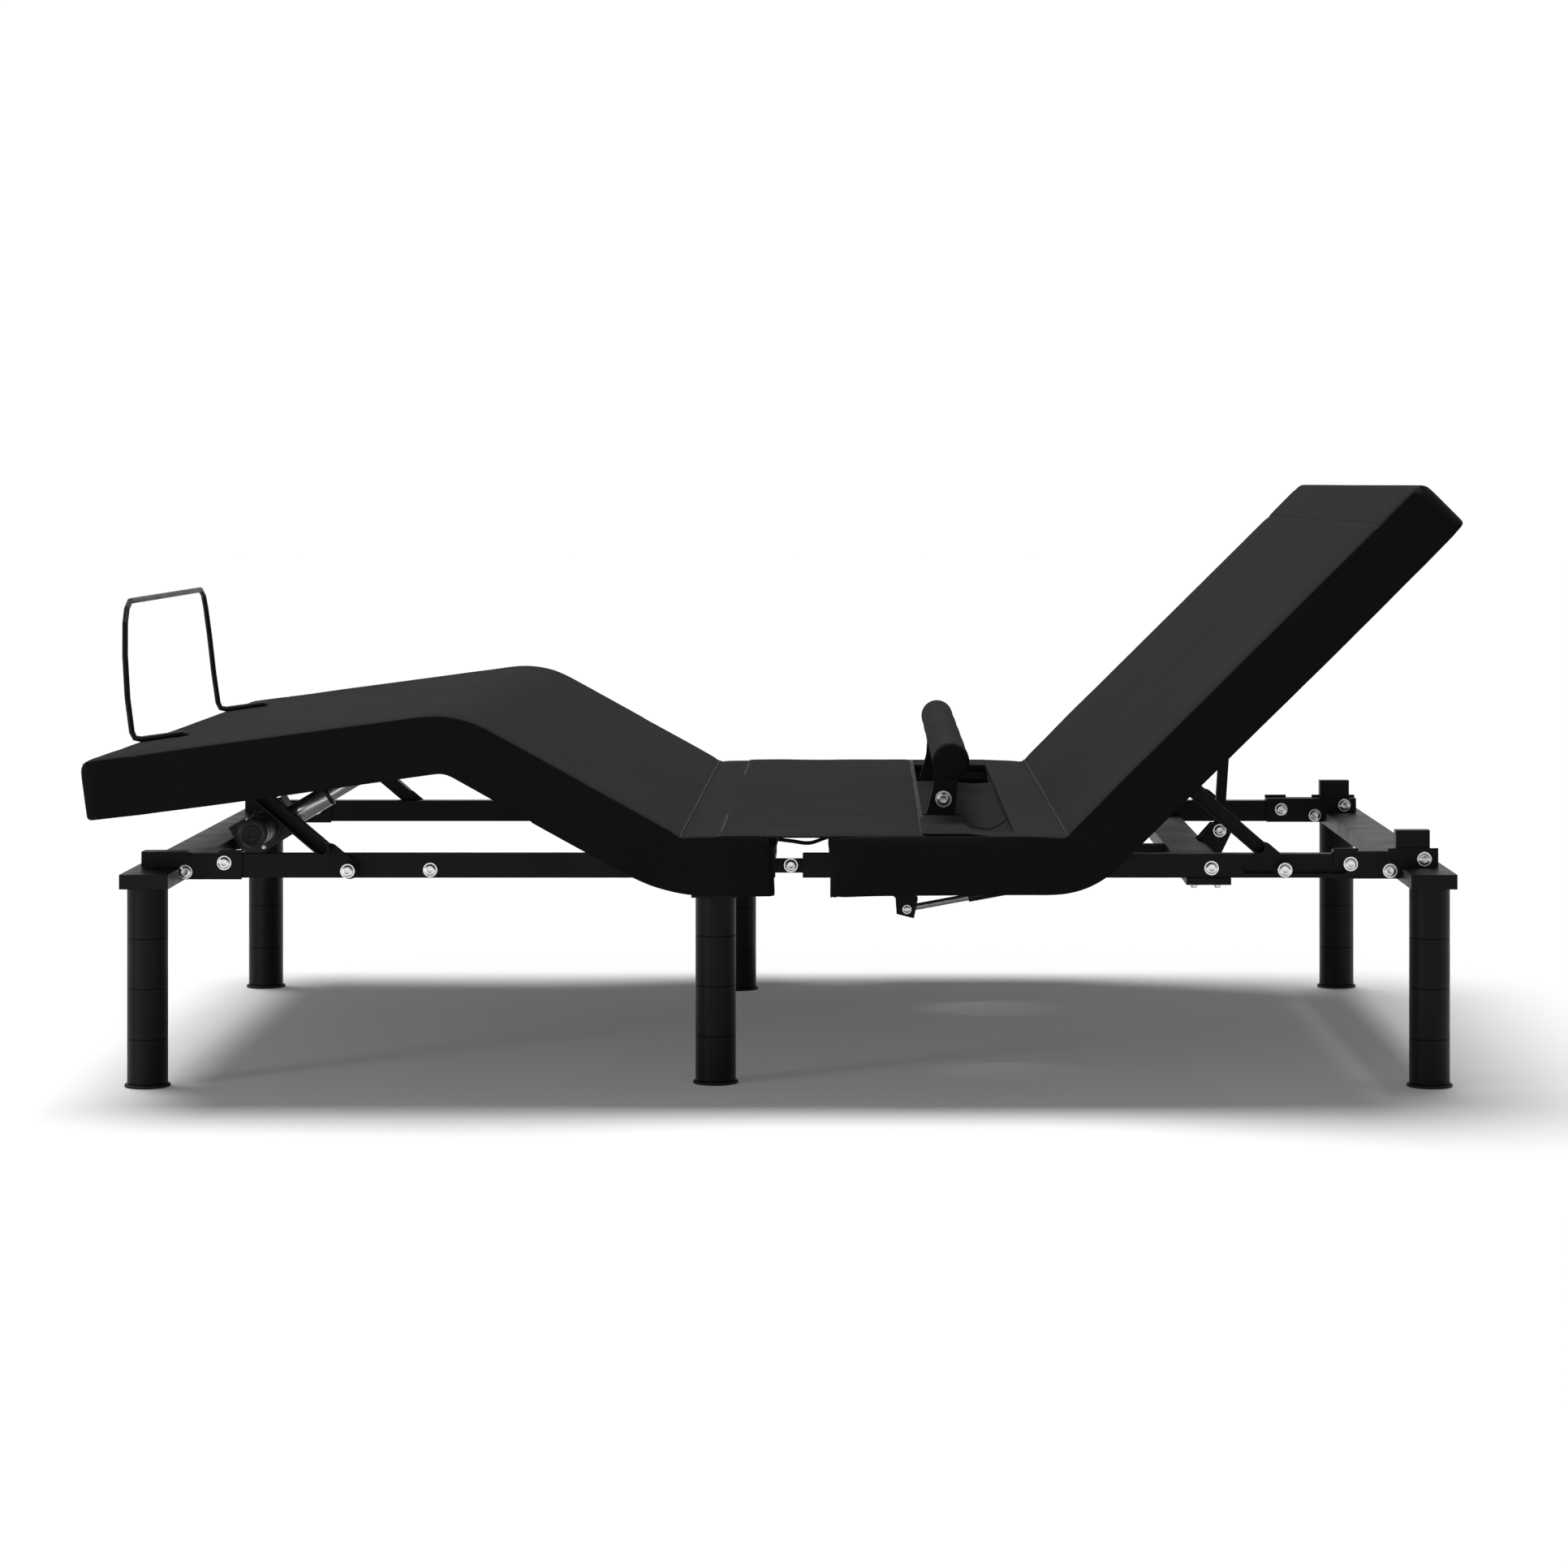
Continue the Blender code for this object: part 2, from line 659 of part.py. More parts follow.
rocker_y = 0.0145
head_cross_member = built(
    "head_cross_member",
    STEEL,
    [
        box(MEMBER, (-0.4687, 0.4687), (MEMBER_LOW, MEMBER_TOP)),
        *[
            box((0.570, 0.632), sorted((s * 0.455, s * 0.4995)), (0.2695, RAIL_LOW - GAP))
            for s in (-1, 1)
        ],
        *[
            plate([(0.622, 0.270), (0.6595, 0.270), (0.674, 0.300), (0.671, 0.315),
                   (0.645, 0.315), (0.622, 0.289)],
                  (s * rocker_y - 0.002, s * rocker_y + 0.002))
            for s in (-1, 1)
        ],
        pin(SUPPORT_PIVOT, (-rocker_y - 0.002, rocker_y + 0.002), PIN_RADIUS),
        *[
            plate([(0.575, 0.272), (0.575, 0.288), (0.437, 0.288), (0.420, 0.262),
                   (0.416, 0.240), (0.420, 0.228), (0.432, 0.228), (0.440, 0.262), (0.455, 0.272)],
                  (LUMBAR_Y + s * 0.0119 - 0.0019, LUMBAR_Y + s * 0.0119 + 0.0019))
            for s in (-1, 1)
        ],
        pin(LUMBAR_ANCHOR, (LUMBAR_Y - 0.0135, LUMBAR_Y + 0.0135), PIN_RADIUS),
    ],
)

# ---------------------------------------------------------------- legs
leg_x = {"foot": (-0.858, 0.562, BEAM_LOW), "middle": (-0.081, 0.530, MIDDLE_BEAM_LOW),
         "head": (0.898, 0.562, BEAM_LOW)}
for end, (x, y, top) in leg_x.items():
    for side, s in SIDES:
        place = (x, s * y)
        built(
            f"leg_{end}_{side}",
            STEEL,
            [rod((*place, GLIDE_HEIGHT + GAP), (*place, top - GAP), LEG_RADIUS, 28)],
        )
        built(
            f"leg_glide_{end}_{side}",
            RUBBER,
            [rod((*place, 0.0), (*place, GLIDE_HEIGHT), GLIDE_RADIUS, 28)],
        )


# ---------------------------------------------------------------- section frames
def bar_pair(x, y):
    """Two bars along the bed, one each side."""
    return [box(x, sorted((s * y[0], s * y[1])), (BAR_LOW, BAR_TOP)) for s in (-1, 1)]


def cross_bar(x, half, low=CROSS_LOW):
    return box((x - 0.010, x + 0.010), (-half, half), (low, BAR_TOP))


def ears(x, y):
    """Round bar ends on a hinge line."""
    return [
        plate(capsule((x - 0.001, HINGE_Z), (x + 0.001, HINGE_Z), 2 * EAR_RADIUS, 10),
              sorted((s * y[0], s * y[1])))
        for s in (-1, 1)
    ]


def bores(x, y, radius=BORE_RADIUS):
    return [pin((x, HINGE_Z), sorted((s * (y[0] - 0.01), s * (y[1] + 0.01))), radius, 20)
            for s in (-1, 1)]


# The foot link's top pin sits where the link keeps its length flat and raised.
def foot_link_error(along):
    flat = flat_point(KNEE_FLAT, False, along, FOOT_LINK_DROP)
    raised = at_rest_on_foot(flat)
    length = [hypot(p[0] - FOOT_LINK_PIVOT[0], p[1] - FOOT_LINK_PIVOT[1]) for p in (flat, raised)]
    return length[0] - length[1]


foot_pin_along = between(0.28, 0.38, foot_link_error)
FOOT_PIN_FLAT = flat_point(KNEE_FLAT, False, foot_pin_along, FOOT_LINK_DROP)
FOOT_PIN = at_rest_on_foot(FOOT_PIN_FLAT)

# The back strut leaves its rail pin at its own angle and meets the back section's frame.
reach = BACK_STRUT_PIVOT[0] - BACK_HINGE[0]
rise = BACK_STRUT_PIVOT[1] - BACK_HINGE[1]
strut_length = (
    (reach - rise - 2 * sin(BACK_ANGLE) * BACK_STRUT_DROP)
    / (cos(BACK_STRUT_ANGLE) + sin(BACK_STRUT_ANGLE))
)
BACK_PIN = (
    BACK_STRUT_PIVOT[0] - strut_length * cos(BACK_STRUT_ANGLE),
    BACK_STRUT_PIVOT[1] + strut_length * sin(BACK_STRUT_ANGLE),
)
BACK_PIN_FLAT = turned(BACK_PIN, BACK_HINGE, -BACK_ANGLE)


def lug(pin_at, bar_x, hole):
    """Two plates outside the links that hang from a cross bar and take the link's pin."""
    outline = [
        (bar_x - 0.012, BAR_TOP), (pin_at[0] + 0.012, BAR_TOP),
        (pin_at[0] + 0.012, pin_at[1] - 0.004), (pin_at[0] + 0.006, pin_at[1] - 0.013),
        (pin_at[0] - 0.010, pin_at[1] - 0.013), (bar_x - 0.012, CROSS_LOW - 0.004),
    ]
    plates = [plate(outline, sorted((s * LUG[0], s * LUG[1]))) for s in (-1, 1)]
    holes = [pin(pin_at, sorted((s * (LUG[0] - 0.01), s * (LUG[1] + 0.01))), hole, 24)
             for s in (-1, 1)]
    return plates, holes


thigh_bar_x = (KNEE_X, THIGH_HINGE_X)
thigh_frame = built(
    "thigh_frame",
    STEEL,
    [
        *bar_pair(thigh_bar_x, THIGH_BAR),
        *ears(KNEE_X, THIGH_BAR),
        *ears(THIGH_HINGE_X, THIGH_BAR),
        *[pin(KNEE_FLAT, sorted((s * 0.411, s * 0.445)), PIN_RADIUS) for s in (-1, 1)],
        cross_bar(THIGH_HINGE_X - 0.060, 0.45, BAR_LOW),
        cross_bar(KNEE_X + 0.070, 0.45, BAR_LOW),
    ],
    bores(THIGH_HINGE_X, THIGH_BAR),
)

drive_pin = flat_point(KNEE_FLAT, False, *FOOT_DRIVE_PIN)
drive_ear = [
    (KNEE_X - 0.050, BAR_TOP), (drive_pin[0] - 0.014, BAR_TOP), (drive_pin[0] - 0.011, drive_pin[1]),
    (drive_pin[0] - 0.005, drive_pin[1] - 0.010), (drive_pin[0] + 0.007, drive_pin[1] - 0.010),
    (KNEE_X - 0.050, 0.3160),
]
foot_lugs, foot_lug_holes = lug(FOOT_PIN_FLAT, FOOT_PIN_FLAT[0] - 0.027, 0.0095)
foot_frame = built(
    "foot_frame",
    STEEL,
    [
        *bar_pair((KNEE_X - 0.440, KNEE_X), FOOT_BAR),
        *ears(KNEE_X, FOOT_BAR),
        cross_bar(KNEE_X - 0.060, 0.425, BAR_LOW),
        cross_bar(FOOT_PIN_FLAT[0] - 0.027, LUG[1]),
        cross_bar(PRONG_X, 0.425),
        *[
            plate(drive_ear, (FOOT_DRIVE_Y + s * 0.0195 - 0.002, FOOT_DRIVE_Y + s * 0.0195 + 0.002))
            for s in (-1, 1)
        ],
        *foot_lugs,
    ],
    [
        *bores(KNEE_X, FOOT_BAR),
        *foot_lug_holes,
        box((KNEE_X - 0.080, KNEE_X - 0.040), (-0.0165, 0.0165), (0.300, 0.3255)),
        *[rod((PRONG_X, s * PRONG_Y, 0.30), (PRONG_X, s * PRONG_Y, 0.40), 0.0047, 16)
          for s in (-1, 1)],
    ],
)

HEAD_DRIVE_PIN = (
    BACK_HINGE[0] + HEAD_DRIVE_ARM * cos(HEAD_DRIVE_ARM_ANGLE),
    BACK_HINGE[1] + HEAD_DRIVE_ARM * sin(HEAD_DRIVE_ARM_ANGLE),
)
head_drive_flat = turned(HEAD_DRIVE_PIN, BACK_HINGE, -BACK_ANGLE)
lever = [
    (BACK_HINGE_X + 0.030, BAR_TOP), (BACK_HINGE_X + 0.070, BAR_TOP),
    (BACK_HINGE_X + 0.070, CROSS_LOW), (head_drive_flat[0] + 0.014, head_drive_flat[1] - 0.006),
    (head_drive_flat[0] + 0.004, head_drive_flat[1] - 0.013),
    (head_drive_flat[0] - 0.010, head_drive_flat[1] - 0.010),
    (head_drive_flat[0] - 0.012, head_drive_flat[1] + 0.008),
]
back_lugs, back_lug_holes = lug(BACK_PIN_FLAT, BACK_PIN_FLAT[0] - 0.027, 0.0051)
back_frame = built(
    "back_frame",
    STEEL,
    [
        *bar_pair((BACK_HINGE_X, BACK_HINGE_X + 0.600), BACK_BAR),
        *ears(BACK_HINGE_X, BACK_BAR),
        cross_bar(BACK_HINGE_X + 0.060, 0.45, BAR_LOW),
        cross_bar(BACK_PIN_FLAT[0] - 0.027, LUG[1]),
        cross_bar(BACK_HINGE_X + 0.400, 0.45, TRACK_LOW),
        cross_bar(BACK_HINGE_X + 0.590, 0.45),
        box((BACK_HINGE_X + 0.240, BACK_HINGE_X + 0.600), (0.007, 0.031), (TRACK_LOW, BAR_TOP)),
        *[
            plate(lever, (HEAD_DRIVE_Y + s * 0.0175 - 0.002, HEAD_DRIVE_Y + s * 0.0175 + 0.002))
            for s in (-1, 1)
        ],
        *back_lugs,
    ],
    [*bores(BACK_HINGE_X, BACK_BAR), *back_lug_holes],
)

# ---------------------------------------------------------------- retainer bar
bar_radius = 0.00425
bar_x = KNEE_X - 0.489
bar_low = DECK_TOP + 0.007
half_loop = [
    (PRONG_X, PRONG_Y, 0.3185),
    (PRONG_X, PRONG_Y, bar_low - 0.0062),
    (PRONG_X - 0.0022, PRONG_Y, bar_low - 0.0018),
    (PRONG_X - 0.0066, PRONG_Y, bar_low),
    (bar_x + 0.012, PRONG_Y, bar_low),
    (bar_x + 0.003, PRONG_Y, bar_low + 0.003),
    (bar_x, PRONG_Y, bar_low + 0.012),
    (bar_x, 0.388, bar_low + 0.060),
    (bar_x + 0.003, 0.378, bar_low + 0.120),
    (bar_x + 0.006, 0.360, bar_low + 0.165),
    (bar_x + 0.008, 0.342, bar_low + 0.185),
    (bar_x + 0.009, 0.314, bar_low + 0.195),
]
loop = [*half_loop, *[(x, -y, z) for x, y, z in reversed(half_loop)]]
retainer_bar = built("retainer_bar", STEEL, [wire(loop, bar_radius)])


# ---------------------------------------------------------------- links
def channel(name, low, top, side, low_pin, top_pin):
    """A U-shaped link, open outwards, with a flat foot; the pins are Y ranges."""
    angle = atan2(top[1] - low[1], top[0] - low[0])
    length = hypot(top[0] - low[0], top[1] - low[1])

    def along(distance):
        return (low[0] + distance * cos(angle), low[1] + distance * sin(angle))

    outer = plate(capsule(along(0.046), top, LINK_WIDTH, 10),
                  sorted((side * LINK_IN, side * LINK_OUT)))
    room = plate(capsule(along(0.047), along(length + 0.030), LINK_WIDTH - 0.005, 6),
                 sorted((side * (LINK_IN + 0.003), side * (LINK_OUT + 0.01))))
    foot = plate(capsule(low, along(0.036), LINK_FOOT_WIDTH, 10),
                 sorted((side * LINK_IN, side * (LINK_IN + 0.0035))))
    return built(
        name,
        STEEL,
        [
            built("web", STEEL, [outer, foot], [room]),
            pin(low, sorted((side * low_pin[0], side * low_pin[1])), LINK_PIN_RADIUS, 24),
            pin(low, sorted((side * (LINK_IN + 0.001), side * LINK_OUT)), 0.0088, 24),
            pin(top, sorted((side * top_pin[0], side * top_pin[1])), LINK_PIN_RADIUS, 24),
        ],
    )


for side, s in SIDES:
    link = channel(
        f"foot_link_{side}", FOOT_LINK_PIVOT, FOOT_PIN, s,
        (RAIL_IN + 0.001, LINK_IN + 0.002), (LINK_IN + 0.001, LUG[1]),
    )
    set_origin(link, FOOT_LINK_PIVOT)
    strut = channel(
        f"back_strut_{side}", BACK_STRUT_PIVOT, BACK_PIN, s,
        (RAIL_OUT - SLOT_DEPTH + 0.001, LINK_IN + 0.002), (LINK_IN + 0.001, LUG[1]),
    )
    set_origin(strut, BACK_PIN)


# ---------------------------------------------------------------- linear drives
def drive(name, y, anchor, pin_at, case, tube, ram, motor):
    """A gear housing with its outer tube, a rod and a motor, along one line.

    case is (half width, bottom, top), tube is (length, radius, start of its bore), ram is
    (start, radius, eye radius) and motor is (side, height), or None.
    """
    half, low, high = case
    tube_end, tube_radius, bore_from = tube
    rod_from, rod_radius, eye = ram
    length = hypot(pin_at[0] - anchor[0], pin_at[1] - anchor[1])
    made = [built(f"{name}_housing", PLASTIC, [
        box((0.016, 0.080), (-half, half), (low, high)),
        *[box((-0.011, 0.020), sorted((s * 0.0150, s * half)), (low, high)) for s in (-1, 1)],
        box((-0.009, 0.020), (-0.0095, 0.0095), (-0.009, 0.009)),
        rod((0.070, 0, 0), (tube_end, 0, 0), tube_radius, 24),
    ], [
        pin((0, 0), (-0.012, 0.012), BORE_RADIUS),
        rod((bore_from, 0, 0), (tube_end + 0.02, 0, 0), rod_radius + 0.0005, 24),
    ])]
    if motor:
        side, height = motor
        made.append(built(f"{name}_motor", PLASTIC, [
            rod((0.0365, side * (half + GAP), height), (0.0365, side * (half + 0.115), height),
                0.0215, 28),
        ]))
    made.append(built(f"{name}_rod", ZINC, [
        rod((rod_from, 0, 0), (length, 0, 0), rod_radius, 24),
        pin((length, 0), (-eye, eye), eye, 24),
    ]))
    angle = atan2(pin_at[1] - anchor[1], pin_at[0] - anchor[0])
    for piece in made:
        piece.location = (anchor[0], y, anchor[1])
        piece.rotation_euler[1] = -angle


drive("foot_actuator", FOOT_DRIVE_Y, FOOT_DRIVE_ANCHOR, at_rest_on_foot(drive_pin),
      (0.030, -0.0235, 0.034), (0.139, 0.0148, 0.0215), (0.118, 0.0120, 0.0120), (-1, 0.008))
drive("head_actuator", HEAD_DRIVE_Y, HEAD_DRIVE_ANCHOR, HEAD_DRIVE_PIN,
      (0.030, -0.034, 0.020), (0.139, 0.0148, 0.0215), (0.112, 0.0100, 0.0100), (1, -0.008))
drive("lumbar_actuator", LUMBAR_Y, LUMBAR_ANCHOR, LUMBAR_CRANK_PIN,
      (0.022, -0.020, 0.020), (0.150, 0.0115, 0.043), (0.048, 0.0050, 0.0080), None)

# ---------------------------------------------------------------- head support arm
# The arm's roller runs under the back section, so the arm turns about twice as far as it.
def support_tip(angle):
    """Where the roller's centre is when the back section is at this angle."""
    base = (BACK_HINGE[0] + SUPPORT_DROP * sin(angle), BACK_HINGE[1] - SUPPORT_DROP * cos(angle))
    x, z = SUPPORT_PIVOT[0] - base[0], SUPPORT_PIVOT[1] - base[1]
    along = x * cos(angle) + z * sin(angle)
    off = -x * sin(angle) + z * cos(angle)
    run = along + sqrt(SUPPORT_LENGTH**2 - off**2)
    return (base[0] + run * cos(angle), base[1] + run * sin(angle))


SUPPORT_TIP = support_tip(BACK_ANGLE)
arm_end = (
    SUPPORT_PIVOT[0] + (SUPPORT_TIP[0] - SUPPORT_PIVOT[0]) * 0.985,
    SUPPORT_PIVOT[1] + (SUPPORT_TIP[1] - SUPPORT_PIVOT[1]) * 0.985,
)
support_arm = built(
    "head_support_arm",
    STEEL,
    [
        plate(capsule(SUPPORT_PIVOT, arm_end, 0.015, 8), (-0.0085, 0.0085)),
        pin(SUPPORT_TIP, (-0.030, 0.030), PIN_RADIUS),
    ],
    [pin(SUPPORT_PIVOT, (-0.05, 0.05), BORE_RADIUS)],
)
set_origin(support_arm, SUPPORT_PIVOT)
support_roller = built(
    "head_support_roller",
    PLASTIC,
    [pin(SUPPORT_TIP, (0.0095, 0.0285), 0.0105, 24)],
    [pin(SUPPORT_TIP, (0.0, 0.05), BORE_RADIUS, 20)],
)
set_origin(support_roller, SUPPORT_TIP)

# ---------------------------------------------------------------- lumbar lift
elbow = (0.227, 0.322)
arm_plates = []
for s in (-1, 1):
    y = sorted((s * (ARM_Y - 0.004), s * (ARM_Y + 0.004)))
    arm_plates.append(plate(capsule(SHAFT, elbow, 0.022, 8), y))
    arm_plates.append(
        plate([(0.2115, 0.316), (0.2115, 0.355), (0.222, 0.396), (0.225, 0.445), (0.259, 0.445),
               (0.256, 0.396), (0.252, 0.350), (0.238, 0.316)], y)
    )
lumbar_arms = built(
    "lumbar_arms",
    STEEL,
    [
        rod((SHAFT[0], -0.4680, SHAFT[1]), (SHAFT[0], 0.4680, SHAFT[1]), 0.011, 24),
        rod((SHAFT[0], -0.4930, SHAFT[1]), (SHAFT[0], 0.4930, SHAFT[1]), 0.007, 24),
        *arm_plates,
        rod((ROLLER[0], -0.555, ROLLER[1]), (ROLLER[0], 0.555, ROLLER[1]), 0.010, 20),
        *[
            plate([(0.086, 0.292), (0.106, 0.305), (0.2035, 0.208), (0.1975, 0.1786),
                   (0.1716, 0.1850), (0.1700, 0.2085)],
                  (LUMBAR_Y + s * 0.0115 - 0.002, LUMBAR_Y + s * 0.0115 + 0.002))
            for s in (-1, 1)
        ],
    ],
)
set_origin(lumbar_arms, SHAFT)
roller = built(
    "lumbar_roller",
    FOAM,
    [rod((ROLLER[0], -ROLLER_HALF, ROLLER[1]), (ROLLER[0], ROLLER_HALF, ROLLER[1]),
         ROLLER_RADIUS, 32)],
    [
        rod((ROLLER[0], -0.556, ROLLER[1]), (ROLLER[0], 0.556, ROLLER[1]), 0.0103, 20),
        *[
            box((ROLLER[0] - 0.03, ROLLER[0] + 0.03), sorted((s * 0.3495, s * 0.3585)),
                (0.40, 0.4455))
            for s in (-1, 1)
        ],
    ],
)
set_origin(roller, SHAFT)

# ---------------------------------------------------------------- electrics
control_box = built(
    "control_box",
    PLASTIC,
    [box((-0.100, -0.004), (-0.360, -0.200), (0.2835, 0.3310))],
    [box((-0.090, -0.060), (-0.370, -0.350), (0.292, 0.322))],
)
route = [
    (-0.0035, -0.300, 0.316), (0.020, -0.298, 0.313), (0.045, -0.290, 0.3095),
    (0.070, -0.270, 0.316), (0.095, -0.240, 0.320), (0.150, -0.180, 0.305), (0.210, -0.150, 0.290),
    (0.330, -0.145, 0.285), (0.400, -0.130, 0.272), (0.432, -0.103, 0.262), (0.440, -0.0945, 0.260),
]
control_cable = built("control_cable", RUBBER, [wire(smooth_path(route, 4), 0.0028)])

# ---------------------------------------------------------------- pose the sections
for piece in (thigh_cover, thigh_board, thigh_frame):
    pose(piece, THIGH_HINGE, THIGH_HINGE, -THIGH_ANGLE)
for piece in (foot_cover, foot_board, foot_frame, retainer_bar):
    pose(piece, KNEE_FLAT, KNEE, FOOT_SLOPE)
for piece in (back_cover, back_board, back_frame):
    pose(piece, BACK_HINGE, BACK_HINGE, BACK_ANGLE)
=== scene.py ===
"""Looks for the adjustable bed base: upholstery, hardware, materials, light and camera.

Metres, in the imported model's own frame: +X is the head end and -Y the sleeper's left side.
"""

import json
from math import atan2, ceil, cos, hypot, pi, radians, sin, sqrt, tan

import bmesh
import bpy
from mathutils import Matrix, Vector, noise
from mathutils.bvhtree import BVHTree


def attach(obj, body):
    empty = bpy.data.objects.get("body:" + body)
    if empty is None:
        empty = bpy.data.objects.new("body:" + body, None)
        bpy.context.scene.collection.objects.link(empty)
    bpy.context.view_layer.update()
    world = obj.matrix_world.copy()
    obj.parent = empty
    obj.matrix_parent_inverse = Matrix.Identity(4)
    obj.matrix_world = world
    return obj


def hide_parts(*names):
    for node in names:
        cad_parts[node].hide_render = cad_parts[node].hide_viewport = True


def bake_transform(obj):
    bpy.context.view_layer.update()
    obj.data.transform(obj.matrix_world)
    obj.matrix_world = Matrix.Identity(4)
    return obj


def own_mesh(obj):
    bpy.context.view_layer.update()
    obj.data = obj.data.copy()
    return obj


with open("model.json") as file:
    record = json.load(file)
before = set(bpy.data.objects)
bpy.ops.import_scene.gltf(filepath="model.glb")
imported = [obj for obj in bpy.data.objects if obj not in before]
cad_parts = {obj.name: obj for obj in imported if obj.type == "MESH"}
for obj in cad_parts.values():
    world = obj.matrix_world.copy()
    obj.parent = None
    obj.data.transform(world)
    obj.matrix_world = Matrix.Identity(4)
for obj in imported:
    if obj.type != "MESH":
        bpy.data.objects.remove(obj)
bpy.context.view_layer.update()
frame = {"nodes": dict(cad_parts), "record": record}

# ---------------------------------------------------------------- numbers shared with the CAD
DECK_HALF = 0.762
DECK_TOP = 0.357
SKIRT_BOTTOM = 0.277
SKIRT_WALL = 0.0138
CEILING = 0.3452
HINGE_Z = 0.336
BACK_HINGE = (0.4007, HINGE_Z)
BACK_LENGTH = 0.6797
BACK_ANGLE = radians(45.0)
THIGH_HINGE = (-0.1249, HINGE_Z)
THIGH_LENGTH = 0.3385
THIGH_ANGLE = radians(29.3)
FOOT_LENGTH = 0.501
FOOT_SLOPE = radians(7.8)
KNEE_ANGLE = THIGH_ANGLE + FOOT_SLOPE
KNEE_FLAT = (THIGH_HINGE[0] - THIGH_LENGTH, HINGE_Z)
FOOT_END = KNEE_FLAT[0] - FOOT_LENGTH
HEAD_END = BACK_HINGE[0] + BACK_LENGTH
MID_THIGH = THIGH_HINGE[0] - 0.17
FOLD_LEFT = 0.006
FOLD_RIGHT = 0.0757
TROUGH = (0.201, 0.328)
TROUGH_HALF = 0.674
ROLLER = (0.2424, 0.445)
ROLLER_RADIUS = 0.0254
ROLLER_HALF = 0.562
ARM_Y = 0.354
FOOT_DRIVE_ANCHOR = (-0.802, 0.286)
FOOT_DRIVE_ANGLE = radians(30.8044)
HEAD_DRIVE_ANCHOR = (0.105, 0.2405)
HEAD_DRIVE_ANGLE = radians(2.1425)
HEAD_DRIVE_Y = 0.10
LUMBAR_Y = -0.06
LUMBAR_ANCHOR = (0.425, 0.236)
LUMBAR_CRANK_PIN = (0.187, 0.192)


def turned(point, hinge, angle):
    """An (x, z) point turned about a hinge; a positive angle lifts what lies towards +X."""
    x, z = point[0] - hinge[0], point[1] - hinge[1]
    return (hinge[0] + x * cos(angle) - z * sin(angle), hinge[1] + x * sin(angle) + z * cos(angle))


# ---------------------------------------------------------------- materials
class Nodes:
    """A material's node tree, with short ways to add and join nodes."""

    def __init__(self, name, **shader_values):
        self.material = bpy.data.materials.new(name)
        self.material.use_nodes = True
        self.tree = self.material.node_tree
        self.shader = self.tree.nodes["Principled BSDF"]
        for socket, value in shader_values.items():
            self.shader.inputs[socket.replace("_", " ")].default_value = value
        self.place = self.add("ShaderNodeTexCoord").outputs["Object"]

    def add(self, kind, **settings):
        node = self.tree.nodes.new(kind)
        for key, value in settings.items():
            setattr(node, key, value)
        return node

    def join(self, source, target):
        self.tree.links.new(source, target)

    def scaled(self, scale, turn=(0.0, 0.0, 0.0)):
        node = self.add("ShaderNodeMapping")
        node.inputs["Scale"].default_value = scale
        node.inputs["Rotation"].default_value = turn
        self.join(self.place, node.inputs["Vector"])
        return node.outputs["Vector"]

    def noise(self, scale, detail=3.0, rough=0.5, vector=None):
        node = self.add("ShaderNodeTexNoise")
        node.inputs["Scale"].default_value = scale
        node.inputs["Detail"].default_value = detail
        node.inputs["Roughness"].default_value = rough
        self.join(vector or self.place, node.inputs["Vector"])
        return node.outputs["Fac"]

    def wave(self, direction, scale, distortion=0.0, profile="SIN", vector=None):
        node = self.add("ShaderNodeTexWave", bands_direction=direction, wave_profile=profile)
        node.inputs["Scale"].default_value = scale
        node.inputs["Distortion"].default_value = distortion
        node.inputs["Detail"].default_value = 1.0
        self.join(vector or self.place, node.inputs["Vector"])
        return node.outputs["Fac"]

    def math(self, operation, a, b):
        node = self.add("ShaderNodeMath", operation=operation)
        for socket, value in zip(node.inputs, (a, b)):
            if isinstance(value, (int, float)):
                socket.default_value = value
            else:
                self.join(value, socket)
        return node.outputs[0]

    def ramp(self, source, stops):
        """Colour from a value; stops are (position, colour or grey)."""
        node = self.add("ShaderNodeValToRGB")
        elements = node.color_ramp.elements
        while len(elements) < len(stops):
            elements.new(0.5)
        for element, (position, colour) in zip(elements, stops):
            element.position = position
            grey = isinstance(colour, (int, float))
            element.color = (colour, colour, colour, 1.0) if grey else (*colour, 1.0)
        self.join(source, node.inputs["Fac"])
        return node.outputs["Color"]

    def bump(self, layers):
        """Stacks bump layers of (height, strength, distance)."""
        normal = None
        for height, strength, distance in layers:
            node = self.add("ShaderNodeBump")
            node.inputs["Strength"].default_value = strength
            node.inputs["Distance"].default_value = distance
            self.join(height, node.inputs["Height"])
            if normal:
                self.join(normal, node.inputs["Normal"])
            normal = node.outputs["Normal"]
        self.join(normal, self.shader.inputs["Normal"])

    def colour(self, source):
        self.join(source, self.shader.inputs["Base Color"])

    def roughness(self, source):
        self.join(source, self.shader.inputs["Roughness"])


